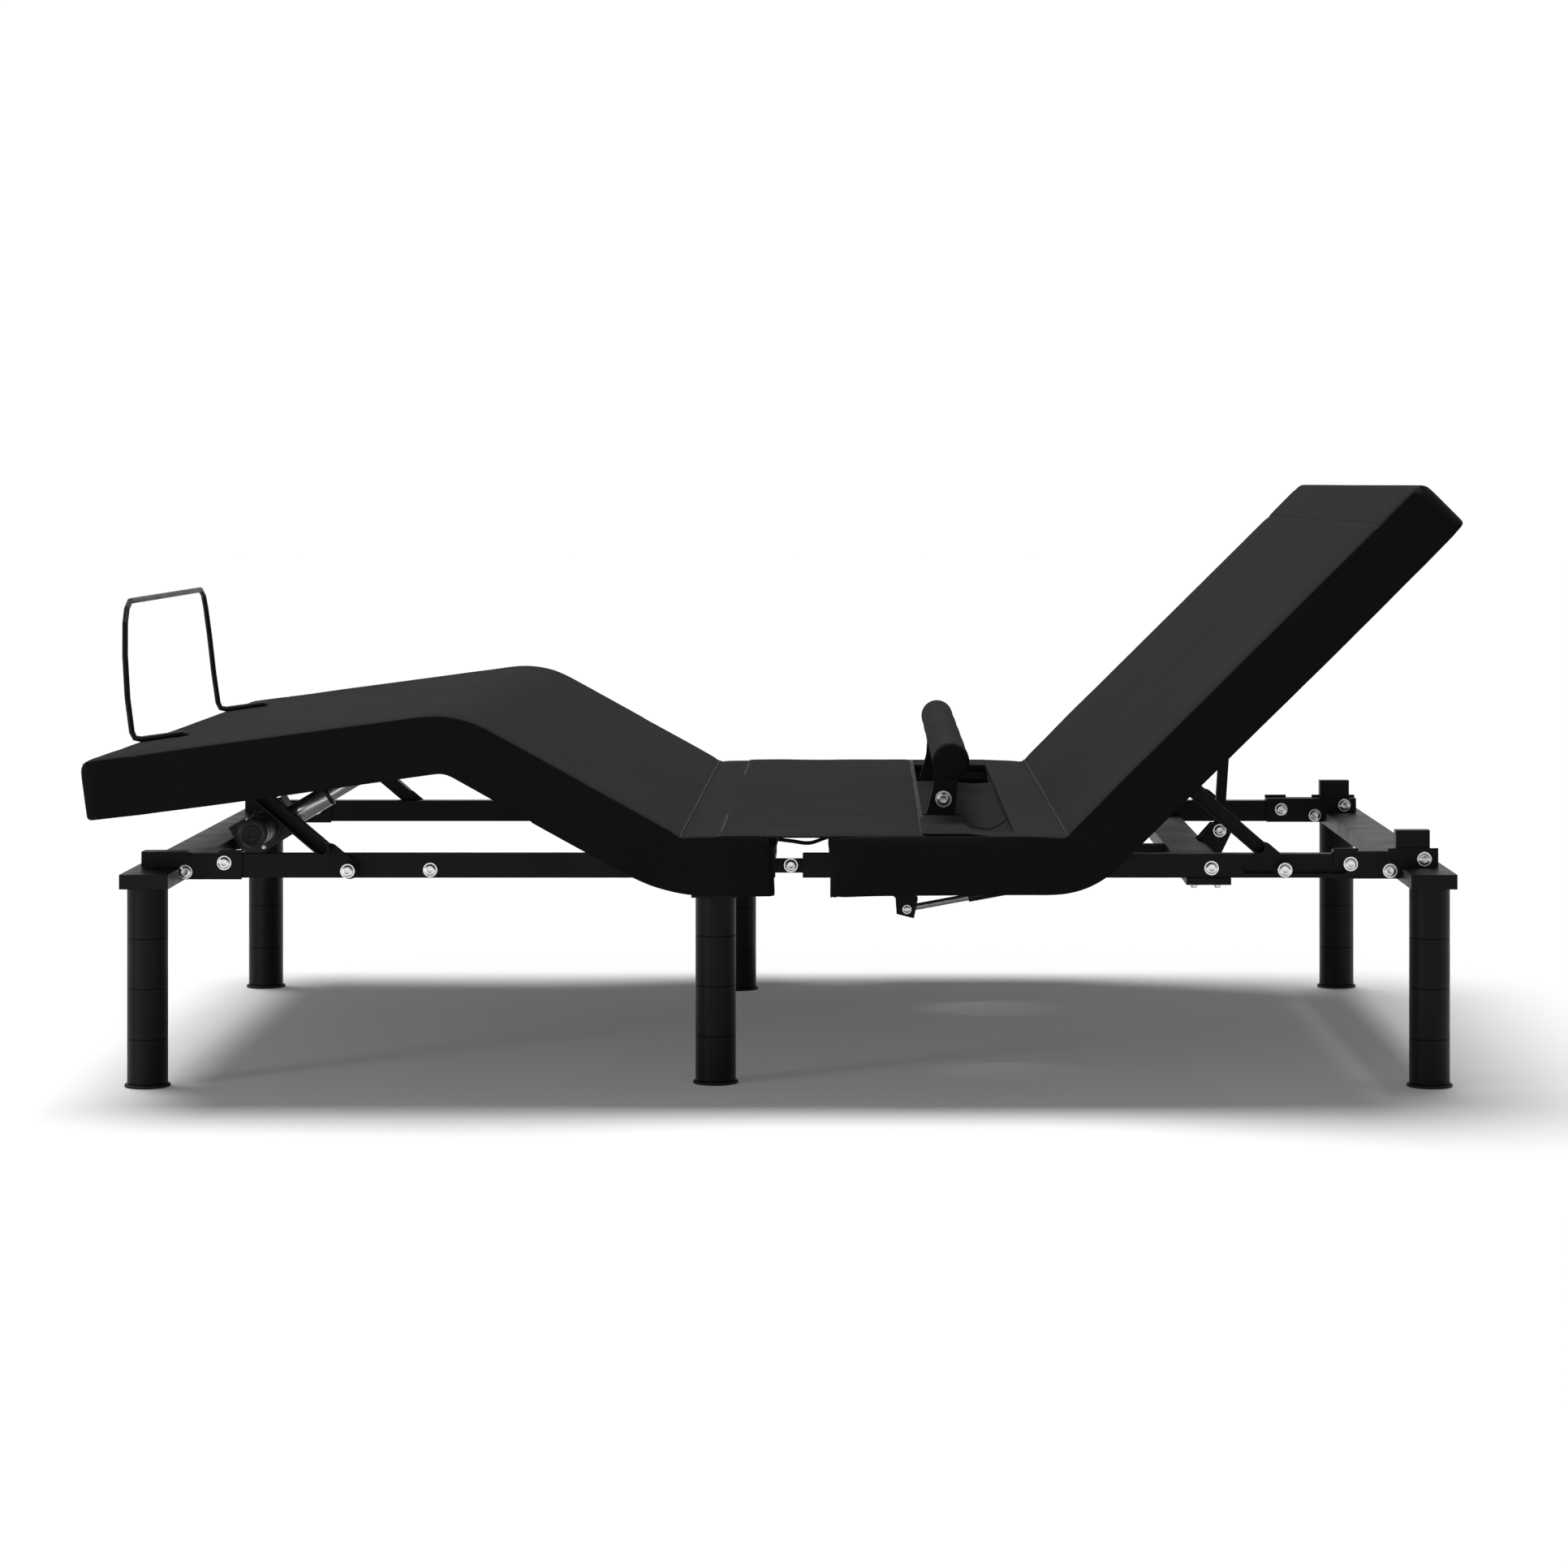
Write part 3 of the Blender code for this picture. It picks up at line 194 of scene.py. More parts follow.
def cloth_material(name, dark, light, weave=1.0):
    """Charcoal woven cloth: a fine plain weave, faint blotches and a soft sheen."""
    made = Nodes(name, Sheen_Weight=0.03, Sheen_Roughness=0.5, Specular_IOR_Level=0.02)
    threads = 2500.0 * weave
    warp = made.math("MULTIPLY", made.wave("X", threads / 20), made.wave("Y", threads / 20))
    across = made.math("MULTIPLY", made.wave("Z", threads / 20), made.wave("X", threads / 20))
    woven = made.math("MAXIMUM", warp, across)
    blotch = made.noise(9.0, 4.0)
    fibre = made.noise(420.0, 2.0, 0.7)
    tone = made.math("ADD", made.math("MULTIPLY", blotch, 0.55), made.math("MULTIPLY", fibre, 0.45))
    made.colour(made.ramp(tone, [(0.3, dark), (0.7, light)]))
    made.roughness(made.ramp(made.math("ADD", blotch, made.math("MULTIPLY", woven, 0.15)),
                             [(0.3, 0.78), (0.8, 0.92)]))
    made.bump([(blotch, 0.25, 0.004), (woven, 0.30, 0.0006), (fibre, 0.25, 0.0004)])
    return made.material


def steel_material():
    """Satin black powder coat with a faint orange peel and slightly worn sheen."""
    made = Nodes("black_powder_coat", Specular_IOR_Level=0.15, Metallic=0.0)
    peel = made.noise(750.0, 2.0)
    cloud = made.noise(14.0, 5.0, 0.6)
    made.colour(made.ramp(cloud, [(0.3, 0.0070), (0.75, 0.0100)]))
    made.roughness(made.ramp(cloud, [(0.25, 0.36), (0.75, 0.50)]))
    made.bump([(cloud, 0.05, 0.002), (peel, 0.16, 0.0004)])
    return made.material


def metal_material(name, colour, rough, brushed=None):
    """Bright metal; brushed is the direction its fine lines cross."""
    made = Nodes(name, Metallic=1.0)
    cloud = made.noise(40.0, 4.0, 0.6)
    shades = [tuple(c * k for c in colour) for k in (0.88, 1.0)]
    made.colour(made.ramp(cloud, [(0.3, shades[0]), (0.7, shades[1])]))
    made.roughness(made.ramp(cloud, [(0.3, rough * 0.8), (0.75, rough * 1.3)]))
    layers = [(made.noise(900.0, 2.0), 0.08, 0.0003)]
    if brushed:
        layers.append((made.wave(brushed, 160.0, 1.5), 0.10, 0.0003))
    made.bump(layers)
    return made.material


def plywood_material():
    """Near-black plywood, its dark base painting the shade in the trough and the fold gap where the board
    shows: long soft grain with small darker flecks.
    """
    made = Nodes("plywood", Specular_IOR_Level=0.3)
    grain = made.wave("Y", 6.0, 9.0, vector=made.scaled((0.35, 3.0, 3.0)))
    fleck = made.noise(60.0, 6.0, 0.7, made.scaled((0.25, 3.0, 3.0)))
    tone = made.math("ADD", made.math("MULTIPLY", grain, 0.5), made.math("MULTIPLY", fleck, 0.5))
    made.colour(made.ramp(tone, [(0.2, 0.006), (0.5, 0.009), (0.85, 0.013)]))
    made.roughness(made.ramp(fleck, [(0.3, 0.55), (0.8, 0.78)]))
    made.bump([(fleck, 0.2, 0.0005)])
    return made.material


def plastic_material(name, grey, rough, grain_scale=700.0, grain=0.25):
    """Moulded black plastic or rubber with a fine grain."""
    made = Nodes(name, Specular_IOR_Level=0.4)
    spark = made.noise(grain_scale, 2.0, 0.6)
    cloud = made.noise(22.0, 4.0)
    made.colour(made.ramp(cloud, [(0.3, grey * 0.8), (0.75, grey * 1.2)]))
    made.roughness(made.ramp(cloud, [(0.25, rough * 0.85), (0.8, min(1.0, rough * 1.15))]))
    made.bump([(cloud, 0.05, 0.002), (spark, grain, 0.0004)])
    return made.material


CLOTH = cloth_material("charcoal_cloth", 0.0160, 0.0208)
PANEL_CLOTH = cloth_material("panel_cloth", 0.0150, 0.0196)
LINER_CLOTH = cloth_material("liner_cloth", 0.0145, 0.0190, 1.4)
SLEEVE = cloth_material("roller_sleeve", 0.0165, 0.0212, 0.8)
THREAD = plastic_material("sewing_thread", 0.012, 0.8)
STEEL = steel_material()
TUBE = metal_material("silver_tube", (0.72, 0.72, 0.73), 0.24, "X")
ZINC = metal_material("bright_zinc", (0.80, 0.80, 0.80), 0.22)
PLYWOOD = plywood_material()
PLASTIC = plastic_material("moulded_plastic", 0.010, 0.42)
RUBBER = plastic_material("glide_rubber", 0.010, 0.75, 300.0, 0.35)
# Near-black material for painted shade: the dark lines in the hinge creases, the dark sheet round the
# centre panel's edges and the dark sheet under the trough.
PAINTED_SHADE = plastic_material("shadow_line", 0.004, 0.9)

CARRIED = {
    "upholstery": CLOTH, "plywood": PLYWOOD, "steel": STEEL, "zinc": TUBE,
    "plastic": PLASTIC, "foam": SLEEVE, "rubber": RUBBER,
}
for part in frame["record"]["subparts"]:
    node = frame["nodes"][part["node"]]
    node.data.materials.clear()
    node.data.materials.append(CARRIED[part["material_slot"]])


# ---------------------------------------------------------------- mesh helpers
def piece(name, mesh, material, body=None, smooth=40.0):
    """A new object from a bmesh or mesh, shaded, painted and riding on its body."""
    if isinstance(mesh, bmesh.types.BMesh):
        data = bpy.data.meshes.new(name)
        mesh.to_mesh(data)
        mesh.free()
    else:
        data = mesh
        data.name = name
    made = bpy.data.objects.new(name, data)
    bpy.context.scene.collection.objects.link(made)
    data.materials.clear()
    data.materials.append(material)
    data.shade_smooth()
    if smooth < 180:
        data.set_sharp_from_angle(angle=radians(smooth))
    if body:
        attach(made, body)
    return made


def lines(stops, step):
    """Grid lines that hold every stop and are no further apart than the step."""
    found = []
    for a, b in zip(stops, stops[1:]):
        count = max(1, ceil((b - a) / step - 1e-6))
        found += [a + (b - a) * i / count for i in range(count)]
    return [*found, stops[-1]]


def skin(xs, ys, zs, solid, open_at=()):
    """The surface of the grid cells that are solid, left open at the X planes listed."""
    made = bmesh.new()
    corners = {}
    mid = [[(a + b) / 2 for a, b in zip(line, line[1:])] for line in (xs, ys, zs)]
    count = [len(m) for m in mid]
    full = [[[solid(x, y, z) for z in mid[2]] for y in mid[1]] for x in mid[0]]

    def filled(cell):
        return all(0 <= c < n for c, n in zip(cell, count)) and full[cell[0]][cell[1]][cell[2]]

    def corner(key):
        if key not in corners:
            corners[key] = made.verts.new((xs[key[0]], ys[key[1]], zs[key[2]]))
        return corners[key]

    for i in range(count[0]):
        for j in range(count[1]):
            for k in range(count[2]):
                if not full[i][j][k]:
                    continue
                for axis in range(3):
                    for step in (0, 1):
                        beside = [i, j, k]
                        beside[axis] += 2 * step - 1
                        if filled(beside):
                            continue
                        if axis == 0 and any(abs(xs[i + step] - x) < 1e-6 for x in open_at):
                            continue
                        low = [i, j, k]
                        low[axis] += step
                        u, v = [a for a in range(3) if a != axis]
                        ring = []
                        for du, dv in ((0, 0), (1, 0), (1, 1), (0, 1)):
                            key = list(low)
                            key[u] += du
                            key[v] += dv
                            ring.append(corner(tuple(key)))
                        if (step == 1) != (axis != 1):
                            ring.reverse()
                        made.faces.new(ring)
    return made


def joined(mesh, rings):
    """Joins rings of vertices into a closed tube, in the order given."""
    count = len(rings[0])
    for low, high in zip(rings, rings[1:]):
        for s in range(count):
            t = (s + 1) % count
            mesh.faces.new([low[s], low[t], high[t], high[s]])
    mesh.faces.new(list(reversed(rings[0])))
    mesh.faces.new(rings[-1])


def soft_edge(d, h, radius):
    """Rounds the corner between two faces: distances inside each, before and after."""
    if d >= radius or h >= radius or d < 0 or h < 0 or min(d, h) > 1e-5:
        return d, h
    a, b = radius - d, radius - h
    length = hypot(a, b)
    if length < 1e-9:
        return d, h
    scale = radius / length
    return radius - a * scale, radius - b * scale


def rounded(point, ends):
    """A flat point of a cover after its plan corners and its edges are rounded."""
    x, y, z = point
    side = 1 if y >= 0 else -1
    across = abs(y)
    for end, sign, radius, edge in ends:
        a = (sign * (x - end) + radius) / radius
        b = (across - (DECK_HALF - radius)) / radius
        if a > 0 and b > 0:
            a, b = min(a, 1.0), min(b, 1.0)
            x = end + sign * (a * sqrt(1 - b * b / 2) - 1) * radius
            across = DECK_HALF - radius + b * sqrt(1 - a * a / 2) * radius
    best = None
    for end, sign, radius, edge in ends:
        a = sign * (x - end) + radius
        b = across - (DECK_HALF - radius)
        if a > 0 and b > 0:
            best = (radius - hypot(a, b), (sign * a / hypot(a, b), b / hypot(a, b)), edge)
        elif a > 0 and (best is None or radius - a < best[0]):
            best = (radius - a, (sign, 0.0), edge)
    if best is None or DECK_HALF - across < best[0] and best[1][1] == 0.0:
        best = (DECK_HALF - across, (0.0, 1.0), LONG_EDGE)
    inside, normal, edge = best
    deep, high = soft_edge(inside, DECK_TOP - z, edge)
    z = DECK_TOP - high
    if abs(deep - inside) < 1e-9:
        deep, low = soft_edge(inside, z - SKIRT_BOTTOM, HEM_EDGE)
        z = SKIRT_BOTTOM + low
    if abs(deep - inside) < 1e-9 and inside <= SKIRT_WALL + 1e-4:
        back, low = soft_edge(max(SKIRT_WALL - inside, 0.0), z - SKIRT_BOTTOM, HEM_EDGE)
        deep = SKIRT_WALL - back
        z = SKIRT_BOTTOM + low
    x -= normal[0] * (deep - inside)
    across -= normal[1] * (deep - inside)
    return x, side * across, z


def bent(point, hinge, base, angle, round_top, round_low):
    """Folds a flat cover at a hinge. base is the side that stays; the corner is rounded."""
    x, y, z = point
    along = x - hinge[0]
    height = z - hinge[1]
    setback = -base * height * tan(angle / 2)
    on_base = along * base >= 0
    distance = abs(along)
    from_corner = distance - setback * min(1.0, distance / 0.11)
    share = min(1.0, max(0.0, (z - SKIRT_BOTTOM) / (DECK_TOP - SKIRT_BOTTOM)))
    reach = round_low + (round_top - round_low) * share
    corner = Vector((hinge[0] + base * setback, z))
    outward = Vector((base, 0.0))
    away = Vector((-base * cos(angle), -base * sin(angle)))
    if from_corner >= reach:
        flat = corner + (outward if on_base else away) * from_corner
        return flat.x, y, flat.y
    t = 0.5 * (1 - from_corner / reach) if on_base else 0.5 * (1 + from_corner / reach)
    first, last = corner + outward * reach, corner + away * reach
    curve = (1 - t) ** 2 * first + 2 * t * (1 - t) * corner + t * t * last
    return curve.x, y, curve.y


def puffed(made, pinned, cap, frames=20):
    """Fills a padded piece by a short cloth run; vertices in pinned hold still."""
    rest = [v.co.copy() for v in made.data.vertices]
    group = made.vertex_groups.new(name="held")
    group.add(sorted(pinned), 1.0, "REPLACE")
    cloth = made.modifiers.new("cloth", "CLOTH")
    cloth.settings.use_pressure = True
    cloth.settings.uniform_pressure_force = 4.0
    cloth.settings.quality = 4
    cloth.settings.mass = 0.3
    cloth.settings.tension_stiffness = 12
    cloth.settings.compression_stiffness = 12
    cloth.settings.bending_stiffness = 0.6
    cloth.settings.vertex_group_mass = "held"
    cloth.settings.effector_weights.gravity = 0.0
    cloth.point_cache.frame_start = 1
    cloth.point_cache.frame_end = frames
    scene = bpy.context.scene
    for number in range(1, frames + 1):
        scene.frame_set(number)
    graph = bpy.context.evaluated_depsgraph_get()
    moved = made.evaluated_get(graph).data
    places = [v.co.copy() for v in moved.vertices]
    made.modifiers.remove(cloth)
    made.vertex_groups.remove(group)
    for vertex, start, end in zip(made.data.vertices, rest, places):
        step = end - start
        if step.length > cap:
            step *= cap / step.length
        vertex.co = start + step
    scene.frame_set(1)


def finer(made):
    """Subdivides a piece once its shape is final."""
    change = made.modifiers.new("finer", "SUBSURF")
    change.levels = 1
    change.render_levels = 1
    graph = bpy.context.evaluated_depsgraph_get()
    mesh = bpy.data.meshes.new_from_object(made.evaluated_get(graph))
    made.modifiers.remove(change)
    old = made.data
    made.data = mesh
    bpy.data.meshes.remove(old)
    made.data.shade_smooth()


# ---------------------------------------------------------------- upholstery
LONG_EDGE = 0.019
FREE_EDGE = 0.016
CORNER = 0.018
FOLD_CORNER = 0.013
FOLD_EDGE = 0.012
SEAM_WIDTH = 0.0055
HINGE_SEAM_DEPTH = 0.0028
END_SEAM_DEPTH = 0.0020
FOLD_REACH = 0.06
GRID = 0.016
HEM_EDGE = 0.0062
PUFF = 0.0034
EDGE_STEPS = (0.0, 0.0022, 0.0052, 0.0092, SKIRT_WALL)
HALF_STOPS = [DECK_HALF - e for e in EDGE_STEPS]
Y_STOPS = [*[-y for y in HALF_STOPS], 0.0, *HALF_STOPS]
Z_LINES = [SKIRT_BOTTOM, 0.2788, 0.2815, 0.2850, 0.2980, 0.3130, 0.3280, 0.3370, CEILING, 0.3490,
           0.3530, 0.3555, DECK_TOP]


def end_stops(end, sign):
    """Grid lines close to a free end, from the inside out."""
    return [end - sign * e for e in reversed(EDGE_STEPS)]


def groove(distance, depth):
    """How deep a sewn seam is at this distance from its line."""
    return depth * max(0.0, 1 - abs(distance) / SEAM_WIDTH) ** 2


def upholster(name, x_stops, solid, ends, open_at, fold, seams, extra_y=(), hold=None):
    """One length of padded cover in its raised pose, and which of its vertices hold still.

    ends is (X, outward sign, plan corner radius, edge radius) of each free end. open_at holds
    the X planes where it carries on as another cover. seams is (X, depth) of each sewn line.
    """
    y_stops = sorted({round(y, 6) for y in (*Y_STOPS, *extra_y)})
    mesh = skin(lines(sorted(x_stops), GRID), lines(y_stops, 0.019), Z_LINES, solid, open_at)
    held = set()
    for index, vertex in enumerate(mesh.verts):
        x, y, z = vertex.co
        if hold and hold(x, y, z):
            held.add(index)
        inner = abs(y) < DECK_HALF - SKIRT_WALL + 1e-4 and z < CEILING + 1e-4
        px, py, pz = rounded((x, y, z), ends)
        if z > CEILING + 0.001:
            for line, depth in seams:
                pz -= groove(x - line, depth)
        if z < HINGE_Z and not inner:
            low = (HINGE_Z - z) / (HINGE_Z - SKIRT_BOTTOM)
            pz += 0.00224 * noise.noise(Vector((x * 3.1, y * 2.3, 4.2))) * low
        vertex.co = fold((px, py, pz))
    mesh.verts.index_update()
    bmesh.ops.recalc_face_normals(mesh, faces=mesh.faces)
    made = piece(name, mesh, CLOTH, smooth=180)
    return made, held


def foot_fold(point):
    x, y, z = bent(point, KNEE_FLAT, 1, KNEE_ANGLE, 0.052, 0.008)
    x, z = turned((x, z), THIGH_HINGE, -THIGH_ANGLE)
    return x, y, z


def thigh_fold(point):
    return bent(point, THIGH_HINGE, 1, -THIGH_ANGLE, 0.002, 0.062)


def back_fold(point):
    return bent(point, BACK_HINGE, -1, BACK_ANGLE, 0.002, 0.058)


INNER = DECK_HALF - SKIRT_WALL
FOOT_SEAM = FOOT_END + 0.078
OVERLAP = 0.018
HEAD_SEAM = HEAD_END - 0.086


def cover_cells(low, high, trough=False):
    """Which grid cells of a cover are cloth and padding, not its hollow."""

    def solid(x, y, z):
        if trough and TROUGH[0] < x < TROUGH[1] and abs(y) < TROUGH_HALF:
            return False
        return z > CEILING or abs(y) > INNER or x < low or x > high

    return solid


def seam_stops(line):
    """Grid lines across a sewn seam."""
    return [line - SEAM_WIDTH, line - 0.0022, line, line + 0.0022, line + SEAM_WIDTH]


def fold_stops(hinge):
    """Grid lines across a fold, closer together near its hinge."""
    return [hinge + share * FOLD_REACH for share in (-1, -0.5, -0.2, 0, 0.2, 0.5, 1)]


def under_panel(x, y, z):
    """Whether the centre panel or the trough's edge keeps this part of the cover down."""
    if z <= CEILING - 1e-3 or abs(y) >= DECK_HALF - 0.008:
        return False
    return FOLD_RIGHT - 1e-3 <= x <= TROUGH[0] + 1e-3 or abs(x - TROUGH[1]) < 1e-4


foot_cover, foot_held = upholster(
    "foot_upholstery",
    [*end_stops(FOOT_END, -1), FOOT_END + 0.019, FOOT_END + 0.028, FOOT_END + 0.044,
     *seam_stops(FOOT_SEAM), *fold_stops(KNEE_FLAT[0]), KNEE_FLAT[0] + 0.11, MID_THIGH,
     MID_THIGH + OVERLAP],
    cover_cells(FOOT_END + SKIRT_WALL, 9.0),
    [(FOOT_END, -1, CORNER, FREE_EDGE)], [MID_THIGH + OVERLAP], foot_fold,
    [(FOOT_SEAM, END_SEAM_DEPTH)],
)
thigh_cover, thigh_held = upholster(
    "thigh_upholstery",
    [MID_THIGH - OVERLAP, MID_THIGH, *fold_stops(THIGH_HINGE[0]), *end_stops(FOLD_LEFT, 1)],
    cover_cells(-9.0, 9.0),
    [(FOLD_LEFT, 1, FOLD_CORNER, FOLD_EDGE)], [MID_THIGH - OVERLAP], thigh_fold,
    [(THIGH_HINGE[0], HINGE_SEAM_DEPTH)],
)
back_cover, back_held = upholster(
    "back_upholstery",
    [FOLD_RIGHT, *[FOLD_RIGHT + e for e in EDGE_STEPS[1:]], TROUGH[0], TROUGH[0] + 0.012,
     TROUGH[1] - 0.012, TROUGH[1], TROUGH[1] + 0.003, TROUGH[1] + 0.008,
     *fold_stops(BACK_HINGE[0]), *seam_stops(HEAD_SEAM), HEAD_END - 0.044, HEAD_END - 0.028,
     HEAD_END - 0.019, *end_stops(HEAD_END, 1)],
    cover_cells(-9.0, HEAD_END - SKIRT_WALL, trough=True),
    [(FOLD_RIGHT, -1, FOLD_CORNER, FOLD_EDGE), (HEAD_END, 1, CORNER, FREE_EDGE)], [], back_fold,
    [(BACK_HINGE[0], HINGE_SEAM_DEPTH), (HEAD_SEAM, END_SEAM_DEPTH)],
    extra_y=(-TROUGH_HALF, TROUGH_HALF), hold=under_panel,
)
puffed(foot_cover, foot_held, PUFF)
puffed(thigh_cover, thigh_held, 0.0030)
puffed(back_cover, back_held, PUFF)
for cover in (foot_cover, thigh_cover, back_cover):
    finer(cover)
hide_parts("foot_cover")
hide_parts("thigh_cover", "seat_cover_foot_half")
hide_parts("back_cover", "seat_cover_head_half")


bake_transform(foot_cover)
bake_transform(thigh_cover)
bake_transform(back_cover)


def crease_shade_line(name, cover, fold, flat_x, half):
    """A dark line laid across the top at a hinge, from one side to the other: painted shade in the crease
    of the fold.
    """
    tree = BVHTree.FromObject(cover, bpy.context.evaluated_depsgraph_get())
    mesh = bmesh.new()
    rows = []
    for number in range(61):
        y = -half + 2 * half * number / 60
        wander = 0.0008 * noise.noise(Vector((flat_x, y * 9.0, 0.0)))
        x, _, z = fold((flat_x + wander, y, DECK_TOP))
        hit = tree.ray_cast(Vector((x, y, z + 0.04)), Vector((0, 0, -1)), 0.08)[0]
        z = (hit.z if hit else z) + 0.0004
        rows.append([mesh.verts.new((x + 0.0013 * cos(a), y, z + 0.0013 * sin(a)))
                     for a in (0.4, 1.65, 2.9, 4.2, 5.4)])
    joined(mesh, rows)
    bmesh.ops.recalc_face_normals(mesh, faces=mesh.faces)
    return piece(name, mesh, PAINTED_SHADE, "frame", 60)


# Painted shade: dark lines along the hinge creases of the thigh and back covers.
crease_shade_line("thigh_hinge_crease_shade", thigh_cover, thigh_fold, THIGH_HINGE[0], 0.7575)
crease_shade_line("back_hinge_crease_shade", back_cover, back_fold, BACK_HINGE[0], 0.7575)


# ---------------------------------------------------------------- centre panel and trough liner
def slab(xs, ys, top, low, keep=None):
    """A thin closed pad between two height fields over a grid."""
    made = bmesh.new()
    layers = []
    for height in (top, low):
        layers.append({
            (i, j): made.verts.new(height(x, y))
            for i, x in enumerate(xs) for j, y in enumerate(ys)
        })
    cells = [
        (i, j) for i in range(len(xs) - 1) for j in range(len(ys) - 1)
        if keep is None or keep((xs[i] + xs[i + 1]) / 2, (ys[j] + ys[j + 1]) / 2)
    ]
    kept = set(cells)
    for i, j in cells:
        ring = [(i, j), (i + 1, j), (i + 1, j + 1), (i, j + 1)]
        made.faces.new([layers[0][key] for key in ring])
        made.faces.new([layers[1][key] for key in reversed(ring)])
        beside = ((i, j - 1), (i + 1, j), (i, j + 1), (i - 1, j))
        for a, cell in enumerate(beside):
            if cell in kept:
                continue
            first, last = ring[a], ring[(a + 1) % 4]
            made.faces.new([layers[1][first], layers[1][last], layers[0][last], layers[0][first]])
    loose = [v for v in made.verts if not v.link_faces]
    bmesh.ops.delete(made, geom=loose, context="VERTS")
    return made


PANEL = (-0.0688, 0.2008)
PANEL_HALF = 0.7540
PANEL_LOW = DECK_TOP + 0.0005


def panel_top(x, y):
    """Height of the panel's cloth: slightly puffed, with long soft ripples."""
    near_edge = min(x - PANEL[0], PANEL[1] - x, PANEL_HALF - abs(y))
    lift = 0.0028 * min(1.0, max(0.0, near_edge) / 0.006) ** 0.5
    ripple = 0.0011 * noise.noise(Vector((x * 13.0, y * 3.4, 0.7)))
    ripple += 0.0006 * noise.noise(Vector((x * 30.0, y * 11.0, 3.1)))
    wander = 0.0022 * noise.noise(Vector((5.0, y * 5.5, 1.0))) * max(0.0, (x - 0.15) / 0.05)
    sag = 0.0006 if FOLD_LEFT < x < FOLD_RIGHT else 0.0
    return (x + wander, y, PANEL_LOW + 0.0006 + lift + ripple * min(1.0, near_edge / 0.02) - sag)


def panel_low(x, y):
    place = panel_top(x, y)
    return (place[0], place[1], PANEL_LOW)


panel_x = lines([PANEL[0], PANEL[0] + 0.002, PANEL[0] + 0.006, PANEL[1] - 0.006,
                 PANEL[1] - 0.002, PANEL[1]], 0.012)
panel_y = lines([-PANEL_HALF, -PANEL_HALF + 0.0023, -PANEL_HALF + 0.007, PANEL_HALF - 0.007,
                 PANEL_HALF - 0.0023, PANEL_HALF], 0.018)
panel = piece("centre_panel_cloth", slab(panel_x, panel_y, panel_top, panel_low), PANEL_CLOTH,
              "frame", 180)
finer(panel)
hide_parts("centre_panel")



def level(height):
    """A flat side of a slab."""
    return lambda x, y: (x, y, height)


# Painted shadow: a thin dark sheet just under the centre panel, showing past its edges as the shadow of
# the panel's thickness.
panel_shadow_y = [-PANEL_HALF - 0.0025, PANEL_HALF + 0.0025]
panel_shadow_mesh = slab([PANEL[0] - 0.0008, PANEL[1] + 0.0045], panel_shadow_y,
                   level(DECK_TOP + 0.0024), level(DECK_TOP - 0.0004))
panel_shadow = piece("panel_edge_shadow", panel_shadow_mesh, PAINTED_SHADE, "frame")

LINER_FAR = 0.312
LINER_NEAR = -0.7530
LINER_X = (TROUGH[0] - 0.0012, TROUGH[1] + 0.0035)
LINER_DIP = 0.262
# Painted shade: a dark sheet low in the trough, so that the trough's hollow reads black.
TROUGH_SHADE_HALF = TROUGH_HALF + 0.0025
ARM_ROOM = 0.012
trough_shade_y = [-TROUGH_SHADE_HALF, -ARM_Y - ARM_ROOM, -ARM_Y + ARM_ROOM, ARM_Y - ARM_ROOM, ARM_Y + ARM_ROOM,
          TROUGH_SHADE_HALF]
trough_shade_mesh = slab([TROUGH[0] - 0.002, TROUGH[1] + 0.030], trough_shade_y, level(0.3045), level(0.3030),
                 lambda x, y: abs(abs(y) - ARM_Y) > ARM_ROOM)
trough_shade = piece("trough_shade_sheet", trough_shade_mesh, PAINTED_SHADE, "frame")


def liner_top(x, y):
    """Height of the cloth in the trough: flat by the arms, sagging beside them."""
    share = min(1.0, max(0.0, (x - LINER_DIP) / (LINER_X[1] - LINER_DIP)))
    dip = 0.022 * sin(pi * share) ** 0.8 * (0.75 + 0.25 * cos(3.0 * y + 0.4))
    hump = 0.0
    if y < -0.40:
        near = min(1.0, (-0.40 - y) / 0.05)
        hump = 0.0045 * near * min(1.0, max(0.0, (0.288 - x) / 0.03)) ** 0.5
    if y > LINER_FAR - 0.05:
        dip *= max(0.2, (LINER_FAR - y) / 0.05)
    rest = min(1.0, max(0.0, (-0.560 - y) / 0.110)) ** 1.5
    ripple = 0.0012 * noise.noise(Vector((x * 18.0, y * 7.0, 2.0))) * (1 - rest)
    return (x, y, DECK_TOP - 0.0012 - dip * (1 - rest) + hump + ripple + 0.0022 * rest)


def liner_low(x, y):
    place = liner_top(x, y)
    return (x, y, place[2] - 0.0030)


SLOT_HALF = 0.0095
SLOT_FROM = 0.2065


def liner_kept(x, y):
    """Leaves slots round the lumbar arms."""
    return not (abs(abs(y) - ARM_Y) < SLOT_HALF and x > SLOT_FROM)


liner_x = lines([LINER_X[0], SLOT_FROM, LINER_DIP, LINER_X[1]], 0.006)
liner_y = lines([LINER_NEAR, LINER_NEAR + 0.004, -ARM_Y - SLOT_HALF, -ARM_Y + SLOT_HALF,
                 LINER_FAR], 0.014)
liner = piece("trough_liner", slab(liner_x, liner_y, liner_top, liner_low, liner_kept),
              LINER_CLOTH, "frame", 180)
finer(liner)
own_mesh(liner)


